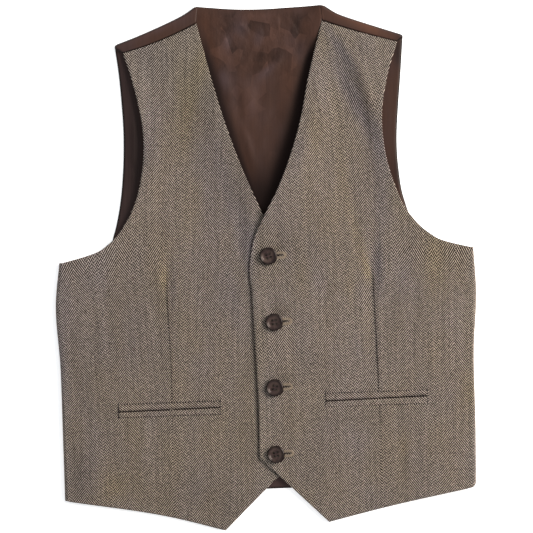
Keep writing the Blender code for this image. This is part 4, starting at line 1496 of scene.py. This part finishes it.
class WAISTCOAT_OT_back(bpy.types.Operator):
    """Build the satin back, from the hem over both shoulders to the fronts"""

    bl_idname = "waistcoat.back"
    bl_label = "Back"

    def execute(self, context):
        points, faces, places, thinning = back_sheet()
        material = satin_material(context.scene.waistcoat.satin)
        cloth = sheet_object("back_satin", points, faces, places, material)
        add_wall(cloth, BACK_WALL, thinning)
        crease_lining(cloth)
        x, y, z = points_of(cloth.data).T
        warmth, light = patch_sum(SATIN_PATCHES, x, y)
        # Painted shade where the satin turns away at its edges and folds.
        light -= SATIN_EDGE_SHADE * edge_share(cloth.data, *SATIN_TURN)
        low = z < SHOULDER_HEIGHT - BACK_WALL
        crumple = neck_share(x, y) * np.interp(y, CRUMPLE_Y, CRUMPLE) * low
        # The depth value is the fronts' painted shadow on the lining. The crumple value sets where
        # the facets' painted sheen and shade show.
        add_values(cloth, depth=painted_shade_of(x, y) * low, warmth=warmth, light=light, crumple=crumple)
        wear(cloth, "satin", "back")
        return {"FINISHED"}


# --- The fronts ---


def dart_seam_shade(front, shades, x, y):
    """How dark the painted shade along the dart's seam makes the cloth at (x, y)."""
    dart = front_grid(front)[:, DART_COLUMN]
    off = x - np.interp(-y, -dart[:, 1], dart[:, 0])
    amount = np.interp(-y, [-shade.y for shade in shades], [shade.amount for shade in shades])
    return amount * np.exp(-((off / DART_SEAM_REACH) ** 2))


def placket_shade(x, y):
    """How dark the right front is just outside the left front's edge, where the two touch."""
    edge = front_grid(FRONT_LEFT)[:, -1, :2]
    off = nearest_on(edge[edge[:, 1] < PLACKET_Y[-1]], x, y)[0]
    strength = np.interp(y, PLACKET_Y, PLACKET_SHADES)
    return strength * (1 - between(off, *PLACKET_REACH))


def build_front(side, front, material):
    points, faces, places, thinning = front_sheet(front)
    cloth = sheet_object(f"front_{side}_tweed", points, faces, places, material)
    add_wall(cloth, FRONT_WALL, thinning)
    x, y, _ = points_of(cloth.data).T
    warmth, light = patch_sum(TWEED_PATCHES, x, y)
    in_neck = (y > 0) & (np.abs(x) < NECK_HALF_WIDTH)
    # Painted light on turned outer edges and hems, and painted shade on turned edges in the neck.
    turned = edge_share(cloth.data, *TWEED_TURN)
    light += np.where(in_neck, TWEED_NECK_EDGE_LIGHT, TWEED_EDGE_LIGHT) * turned
    # Painted shade along the dart's seam and, on the right front, beside the placket, carried as
    # the seam value.
    seam = dart_seam_shade(front, DART_SHADES[side], x, y)
    if side == "right":
        seam = np.maximum(seam, placket_shade(x, y))
    add_values(cloth, warmth=warmth, light=light, seam=seam)
    wear(cloth, "tweed", f"front_{side}")


class WAISTCOAT_OT_fronts(bpy.types.Operator):
    """Build the two tweed fronts, the left one over the right"""

    bl_idname = "waistcoat.fronts"
    bl_label = "Fronts"

    def execute(self, context):
        material = tweed_material(context.scene.waistcoat.weave)
        build_front("right", FRONT_RIGHT, material)
        build_front("left", FRONT_LEFT, material)
        return {"FINISHED"}


# --- The pockets ---


def pocket_line(pocket, line, count):
    """X and Y of points from end to end of a pocket, along its top, mouth or foot."""
    share = np.linspace(0, 1, count)
    start, end = getattr(pocket, f"{line}_start"), getattr(pocket, f"{line}_end")
    return pocket.start_x + share * (pocket.end_x - pocket.start_x), start + share * (end - start)


def lip_points(face, xs, top, foot):
    """A grid of points over one jet: rounded across, following the front along."""
    across = np.linspace(-1, 1, LIP_CELLS_ACROSS + 1)
    grid = np.empty((len(across), len(xs), 3))
    for column, (x, middle, half) in enumerate(zip(xs, (top + foot) / 2, (top - foot) / 2)):
        cloth = max(face.height(x + shift, middle) for shift in LIP_FEELERS)
        for row, side in enumerate(across):
            proud = LIP_PROUD * (1 - side**4)
            grid[row, column] = (x, middle - side * half, cloth + LIP_GAP + proud)
    return grid


def build_jet(name, pocket, face, top, foot, shift, material):
    """One jet, cut with the grain along it."""
    grid = lip_points(face, pocket_line(pocket, "top", LIP_CELLS_ALONG + 1)[0], top, foot)
    index = np.arange(grid[:, :, 0].size).reshape(grid.shape[:2])
    places = np.stack([grid[:, :, 1] - foot[None] + shift, grid[:, :, 0]], axis=2)
    faces, corners = sheet_quads(index, places)
    jet = sheet_object(f"{name}_jet", grid.reshape(-1, 3), faces, corners, material)
    add_wall(jet, LIP_WALL)
    wear(jet, "tweed", f"{name}_lip")


class WAISTCOAT_OT_pockets(bpy.types.Operator):
    """Build the two jets of each pocket"""

    bl_idname = "waistcoat.pockets"
    bl_label = "Pockets"

    def execute(self, context):
        tweed = bpy.data.materials["herringbone tweed"]
        for pocket in POCKETS:
            face = Face(f"front_{pocket.name}_tweed")
            count = LIP_CELLS_ALONG + 1
            top, mouth, foot = (pocket_line(pocket, line, count)[1] for line in POCKET_LINES)
            for which, upper, lower, shift in (
                ("upper", top, mouth + MOUTH_HALF_GAP, UPPER_JET_GRAIN),
                ("lower", mouth - MOUTH_HALF_GAP, foot, LOWER_JET_GRAIN),
            ):
                name = f"pocket_{pocket.name}_{which}"
                build_jet(name, pocket, face, upper, lower, shift, tweed)
        return {"FINISHED"}


# --- The buttons ---


def button_mesh(button, material):
    """A turned button with four thread holes, its underside at Z 0."""
    bm = bmesh.new()
    profile = [bm.verts.new((p.radius * MM, 0, p.height * MM)) for p in BUTTON_PROFILE]
    edges = [bm.edges.new(pair) for pair in zip(profile[:-1], profile[1:])]
    turned = {"cent": (0, 0, 0), "axis": (0, 0, 1), "angle": math.tau, "use_merge": True}
    bmesh.ops.spin(bm, geom=profile + edges, steps=BUTTON_STEPS, **turned)
    bmesh.ops.remove_doubles(bm, verts=bm.verts, dist=SAME_POINT * MM)
    bmesh.ops.recalc_face_normals(bm, faces=bm.faces)
    blank = mesh_object("button_blank", bm, material)
    bm = bmesh.new()
    radii = {"radius1": button.hole_radius, "radius2": button.hole_radius}
    for side_x in (-1, 1):
        for side_y in (-1, 1):
            hole = bmesh.ops.create_cone(
                bm, cap_ends=True, segments=HOLE_STEPS, depth=4 * button.radius, **radii
            )
            shift = (side_x * button.hole_offset, side_y * button.hole_offset, 0)
            bmesh.ops.translate(bm, verts=hole["verts"], vec=shift)
    cutter = mesh_object("hole_cutter", bm, material)
    cut = blank.modifiers.new("thread holes", "BOOLEAN")
    cut.operation = "DIFFERENCE"
    cut.object = cutter
    bake_modifiers(blank)
    mesh = blank.data
    x, y, _ = points_of(mesh).T
    radius = np.hypot(x, y)
    # Painted light on the dish and painted shade on the rim.
    light = DISH_LIGHT * (1 - between(radius, *DISH_EDGE)) - RIM_SHADE * between(radius, *RIM_EDGE)
    add_values(blank, light=light)
    bpy.data.objects.remove(blank)
    bpy.data.objects.remove(cutter)
    mesh.shade_smooth()
    mesh.set_sharp_from_angle(angle=SHARP_ANGLE)
    return mesh


def button_thread(name, offset, material, place):
    """Two bars of thread across the button, which dive into the holes."""
    runs = []
    for side in (-1, 1):
        run = []
        for share in np.linspace(-1, 1, BAR_POINTS):
            dive = BAR_HEIGHT * max(0, abs(share) - BAR_DIVE)
            z = BAR_HEIGHT + BAR_ARCH * (1 - share**2) - dive
            run.append((share * (offset + BAR_PAST), side * offset, z))
        runs.append(run)
    strands = tube_object(name, runs, STRAND_RADIUS, material)
    strands.data.transform(place)
    return strands


class WAISTCOAT_OT_buttons(bpy.types.Operator):
    """Build the four turned buttons and the thread that holds them"""

    bl_idname = "waistcoat.buttons"
    bl_label = "Buttons"

    def execute(self, context):
        settings = context.scene.waistcoat
        material = button_material(settings.button)
        thread = thread_material("button thread", settings.sewing.seam_thread)
        blank = button_mesh(settings.button, material)
        for number, turn in enumerate(BUTTON_TURNS, start=1):
            name = f"button_{number}"
            low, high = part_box(name)
            seat = Vector(((low.x + high.x) / 2, (low.y + high.y) / 2, low.z))
            place = Matrix.Translation(seat) @ Matrix.Rotation(math.radians(turn), 4, "Z")
            mesh = blank.copy()
            mesh.transform(place)
            wear(linked(f"{name}_turned", mesh), "button", name)
            offset = settings.button.hole_offset / MM
            wear(button_thread(f"{name}_thread", offset, thread, place), "button")
        bpy.data.meshes.remove(blank)
        return {"FINISHED"}


# --- The sewing ---


def stitch_tree():
    """Geometry nodes: long beads of thread spaced along a line, lying along it or across it."""
    tree = bpy.data.node_groups.new("stitches", "GeometryNodeTree")
    add_sockets(tree, "INPUT", "Geometry", "Geometry")
    add_sockets(tree, "INPUT", "Float", "Pitch", "Length", "Radius", "Raggedness")
    add_sockets(tree, "INPUT", "Bool", "Across")
    add_sockets(tree, "INPUT", "Int", "Seed")
    add_sockets(tree, "INPUT", "Material", "Thread")
    add_sockets(tree, "OUTPUT", "Geometry", "Geometry")
    nodes = Nodes(tree)

    def vector_math(operation, a, b):
        return nodes.add("ShaderNodeVectorMath", {0: a, 1: b}, operation=operation).outputs[0]

    given = nodes.add("NodeGroupInput").outputs
    feeds = {"Curve": given["Geometry"], "Length": given["Pitch"]}
    places = nodes.add("GeometryNodeCurveToPoints", feeds, mode="LENGTH").outputs
    sideways = vector_math("CROSS_PRODUCT", places["Tangent"], (0, 0, 1))
    feeds = {"Switch": given["Across"], "False": places["Tangent"], "True": sideways}
    lie = nodes.add("GeometryNodeSwitch", feeds, input_type="VECTOR").outputs[0]
    feeds = {"Min": (-1, -1, -1), "Max": (1, 1, 1), "Seed": given["Seed"]}
    stray = nodes.add("FunctionNodeRandomValue", feeds, data_type="FLOAT_VECTOR").outputs[0]
    feeds = {0: stray, "Scale": given["Raggedness"]}
    stray = nodes.add("ShaderNodeVectorMath", feeds, operation="SCALE").outputs[0]
    feeds = {"Vector": vector_math("ADD", lie, stray)}
    turn = nodes.add("FunctionNodeAlignRotationToVector", feeds, axis="X").outputs[0]
    bead = {"Segments": 6, "Rings": 6, "Radius": 1}
    radius = given["Radius"]
    feeds = {
        "Points": places["Points"],
        "Instance": nodes.add("GeometryNodeMeshUVSphere", bead).outputs["Mesh"],
        "Rotation": turn,
        "Scale": nodes.join(nodes.times(given["Length"], 0.5), radius, radius),
    }
    made = nodes.add("GeometryNodeInstanceOnPoints", feeds).outputs[0]
    for kind in ("GeometryNodeRealizeInstances", "GeometryNodeSetShadeSmooth"):
        made = nodes.add(kind, {"Geometry": made}).outputs[0]
    feeds = {"Geometry": made, "Material": given["Thread"]}
    made = nodes.add("GeometryNodeSetMaterial", feeds).outputs[0]
    nodes.add("NodeGroupOutput", {"Geometry": made})
    return tree


def stitched(name, runs, **values):
    """Stitches along the runs of points, in millimetres, as one plain mesh."""
    tree = bpy.data.node_groups.get("stitches") or stitch_tree()
    guide = guide_object(name, runs)
    made = guide.modifiers.new("stitches", "NODES")
    made.node_group = tree
    for item in tree.interface.items_tree:
        if item.in_out == "INPUT" and item.name in values:
            made[item.identifier] = values[item.name]
    return made_along(guide, name)


def slit_frame(place, sewing):
    """A buttonhole's slit: its two ends and the directions along and across it."""
    end = sewing.hole_end / MM
    start = end - sewing.hole_length / MM
    x, y = place
    start, end = (np.array([x + reach, y + reach * HOLE_SLOPE]) for reach in (start, end))
    along = (end - start) / np.linalg.norm(end - start)
    return start, end, along, np.array([-along[1], along[0]])


def buttonhole_run(place, sewing, face):
    """The line of the stitches' middles, down a buttonhole's one side, round its end and back."""
    start, end, along, across = slit_frame(place, sewing)
    off = STITCH_FOOT + sewing.bar_length / MM / 2
    shares = np.linspace(0, 1, SLIT_SIDE_POINTS)
    upper = [start + off * across + (end - start) * share for share in shares]
    turn = [
        end + off * (math.cos(angle) * across + math.sin(angle) * along)
        for angle in np.linspace(0, math.pi, SLIT_TURN_POINTS)[1:-1]
    ]
    lower = [point - 2 * off * across for point in reversed(upper)]
    return face.along(upper + turn + lower, above=STITCH_RISE)


def add_slit_shade(place, sewing, face, bm):
    """A dark, narrow lens along the slit, just above the cloth between the stitches: painted shade
    in the slit.
    """
    start, end, _, across = slit_frame(place, sewing)
    rows = []
    for share in np.linspace(0, 1, SLIT_ROWS):
        round_end = math.sin(math.pi * (SLIT_BLUNT + (1 - 2 * SLIT_BLUNT) * share)) ** 0.5
        half = round_end * (SLIT_START + (SLIT_END - SLIT_START) * share)
        middle = start + (end - start) * share
        wave = SLIT_WAVE * math.sin(share * SLIT_WAVES)
        ring = []
        for side, up in SLIT_RING:
            x, y = middle + across * (side * half + wave)
            ring.append(bm.verts.new((x * MM, y * MM, (face.height(x, y) + up) * MM)))
        rows.append(ring)
    for ring, after in zip(rows[:-1], rows[1:]):
        for k in range(4):
            n = (k + 1) % 4
            bm.faces.new((ring[k], after[k], after[n], ring[n]))
    bm.faces.new(rows[0])
    bm.faces.new(rows[-1][::-1])


class WAISTCOAT_OT_buttonholes(bpy.types.Operator):
    """Work a buttonhole beside each button"""

    bl_idname = "waistcoat.buttonholes"
    bl_label = "Buttonholes"

    def execute(self, context):
        sewing = context.scene.waistcoat.sewing
        face = Face("front_left_tweed")
        bars = stitched(
            "buttonhole_stitches",
            [buttonhole_run(place, sewing, face) for place in BUTTON_PLACES],
            Thread=thread_material("buttonhole thread", sewing.hole_thread),
            Seed=3,
            Pitch=sewing.bar_pitch,
            Across=True,
            Raggedness=HOLE_RAGGEDNESS,
            Length=sewing.bar_length,
            Radius=sewing.thread_radius,
        )
        wear(bars, "tweed")
        # The slits are dark lenses of painted shade.
        bm = bmesh.new()
        for place in BUTTON_PLACES:
            add_slit_shade(place, sewing, face, bm)
        bmesh.ops.recalc_face_normals(bm, faces=bm.faces)
        wear(mesh_object("buttonhole_slit_shades", bm, opening_material()), "tweed")
        return {"FINISHED"}


def sew_pocket(pocket, thread, shade):
    """The seam above the jets and at both ends, the fainter one below, and the dark mouth. The
    mouth is a dark tube of painted shade, and the seams' dark thread is also painted shade in the
    ditch beside the jets.
    """
    name = f"pocket_{pocket.name}"
    face = Face(f"front_{pocket.name}_tweed")
    lines = (pocket_line(pocket, line, SEAM_POINTS) for line in POCKET_LINES)
    top, mouth, foot = (list(zip(*line)) for line in lines)
    above = [face.along([(x, y + SEAM_OUTSIDE) for x, y in top], STITCH_RISE)]
    for end in (0, -1):
        ys = np.linspace(top[end][1] + END_BAR, foot[end][1], END_BAR_POINTS)
        above.append(face.along([(top[end][0], y) for y in ys], LIP_PROUD))
    below = [face.along([(x, y - SEAM_OUTSIDE) for x, y in foot], STITCH_RISE)]
    seams = {f"{name}_seam": above, f"{name}_foot_seam": below}
    for (piece, runs), seam in zip(seams.items(), POCKET_SEAMS):
        sizes = {"Pitch": seam.pitch * MM, "Length": seam.length * MM, "Radius": seam.radius * MM}
        sizes.update(Across=False, Raggedness=SEAM_RAGGEDNESS, Seed=seam.seed)
        wear(stitched(piece, runs, Thread=thread, **sizes), "tweed")
    # The mouth: a dark tube of painted shade in the opening.
    wear(tube_object(f"{name}_mouth", [face.along(mouth)], MOUTH_RADIUS, shade), "tweed")


def scatter_slubs(side, material):
    """The slubs of one front, as short thick yarns half sunk in the cloth."""
    face = Face(f"front_{side}_tweed")
    lines = []
    for spot in SLUBS[side]:
        lie = math.radians(spot.lie)
        reach = np.array([math.cos(lie), math.sin(lie)]) * spot.length / 2
        middle = np.array([spot.x, spot.y])
        lines.append(face.along([middle - reach, middle + reach]))
    wear(tube_object(f"slubs_{side}", lines, SLUB_RADIUS, material), "tweed")


def declare_front(side):
    """Lists what is sewn to a front; nothing uses the list."""
    parts = ("upper_jet", "lower_jet", "seam", "foot_seam", "mouth")
    sewn = [f"slubs_{side}", *[f"pocket_{side}_{part}" for part in parts]]
    if side == "left":
        sewn += ["buttonhole_stitches", "buttonhole_slit_shades"]


class WAISTCOAT_OT_sewing(bpy.types.Operator):
    """Sew the pocket seams and scatter the tweed's few slubs"""

    bl_idname = "waistcoat.sewing"
    bl_label = "Seams and slubs"

    def execute(self, context):
        thread = bpy.data.materials["button thread"]
        shade = bpy.data.materials["inside of an opening"]
        slub = thread_material("slub", SLUB_COLOUR)
        for pocket in POCKETS:
            sew_pocket(pocket, thread, shade)
            scatter_slubs(pocket.name, slub)
        for pocket in POCKETS:
            declare_front(pocket.name)
        return {"FINISHED"}


# --- The stage ---


def build_floor():
    bm = bmesh.new()
    bmesh.ops.create_grid(bm, x_segments=1, y_segments=1, size=FLOOR_SIZE)
    bmesh.ops.translate(bm, verts=bm.verts, vec=(0, 0, -FLOOR_GAP))
    material, nodes = new_material("pale floor")
    nodes.finish(
        Base_Color=FLOOR_COLOUR,
        Roughness=0.9,
        Specular_IOR_Level=0.1,
        Emission_Color=(1, 1, 1),
        Emission_Strength=FLOOR_GLOW,
    )
    mesh_object("floor", bm, material)


def add_key_light(stage):
    data = bpy.data.lights.new("key light", "AREA")
    data.energy = stage.key_power
    data.shape = "SQUARE"
    data.size = KEY_SIZE
    data.color = KEY_COLOUR
    low, turn = stage.key_height, stage.key_turn
    across = KEY_DISTANCE * math.cos(low)
    place = (across * math.cos(turn), across * math.sin(turn), KEY_DISTANCE * math.sin(low))
    lamp = linked("key light", data)
    lamp.location = place
    lamp.rotation_euler = (-Vector(place)).to_track_quat("-Z", "Y").to_euler()


class WAISTCOAT_OT_stage(bpy.types.Operator):
    """Set the floor, the lights and the camera straight above"""

    bl_idname = "waistcoat.stage"
    bl_label = "Stage"

    def execute(self, context):
        stage = context.scene.waistcoat.stage
        build_floor()
        add_key_light(stage)
        world = bpy.data.worlds.new("even light")
        world.use_nodes = True
        background = world.node_tree.nodes["Background"]
        background.inputs["Color"].default_value = SKY_COLOUR
        background.inputs["Strength"].default_value = stage.sky
        context.scene.world = world
        data = bpy.data.cameras.new("camera")
        data.lens = stage.lens
        data.sensor_width = SENSOR
        data.clip_end = CLIP_END
        camera = linked("camera", data)
        distance = VIEW_WIDTH * MM * stage.lens / SENSOR
        camera.location = (VIEW_X * MM, VIEW_Y * MM, distance)
        context.scene.camera = camera
        context.scene.view_settings.view_transform = "Standard"
        context.scene.view_settings.look = "None"
        return {"FINISHED"}


# --- The panel, and registering ---


class WaistcoatSettings(bpy.types.PropertyGroup):
    """Every setting of the waistcoat."""

    weave: bpy.props.PointerProperty(type=WeaveSettings, name="Tweed", description="The tweed")
    satin: bpy.props.PointerProperty(type=SatinSettings, name="Satin", description="The satin")
    button: bpy.props.PointerProperty(
        type=ButtonSettings, name="Buttons", description="The buttons"
    )
    sewing: bpy.props.PointerProperty(type=SewingSettings, name="Sewing", description="The sewing")
    stage: bpy.props.PointerProperty(type=StageSettings, name="Stage", description="The stage")


OPERATORS = (
    WAISTCOAT_OT_back,
    WAISTCOAT_OT_fronts,
    WAISTCOAT_OT_pockets,
    WAISTCOAT_OT_buttons,
    WAISTCOAT_OT_buttonholes,
    WAISTCOAT_OT_sewing,
    WAISTCOAT_OT_stage,
)


class WAISTCOAT_PT_panel(bpy.types.Panel):
    """Lists the waistcoat's pieces and settings."""

    bl_idname = "WAISTCOAT_PT_panel"
    bl_label = "Waistcoat"
    bl_space_type = "VIEW_3D"
    bl_region_type = "UI"
    bl_category = "Waistcoat"

    def draw(self, context):
        settings = context.scene.waistcoat
        for operator in OPERATORS:
            self.layout.operator(operator.bl_idname)
        for group_name in WaistcoatSettings.__annotations__:
            box = self.layout.box()
            group = getattr(settings, group_name)
            for name in group.__annotations__:
                box.prop(group, name)


CLASSES = (
    WeaveSettings,
    SatinSettings,
    ButtonSettings,
    SewingSettings,
    StageSettings,
    WaistcoatSettings,
    *OPERATORS,
    WAISTCOAT_PT_panel,
)


def register():
    for found in CLASSES:
        bpy.utils.register_class(found)
    bpy.types.Scene.waistcoat = bpy.props.PointerProperty(
        type=WaistcoatSettings, name="Waistcoat", description="The waistcoat's sizes and colours"
    )


def unregister():
    del bpy.types.Scene.waistcoat
    for found in reversed(CLASSES):
        bpy.utils.unregister_class(found)


def main():
    register()
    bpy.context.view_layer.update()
    bpy.ops.waistcoat.back()
    bpy.ops.waistcoat.fronts()
    bpy.ops.waistcoat.pockets()
    bpy.ops.waistcoat.buttons()
    bpy.ops.waistcoat.buttonholes()
    bpy.ops.waistcoat.sewing()
    bpy.ops.waistcoat.stage()


if __name__ == "__main__":
    main()
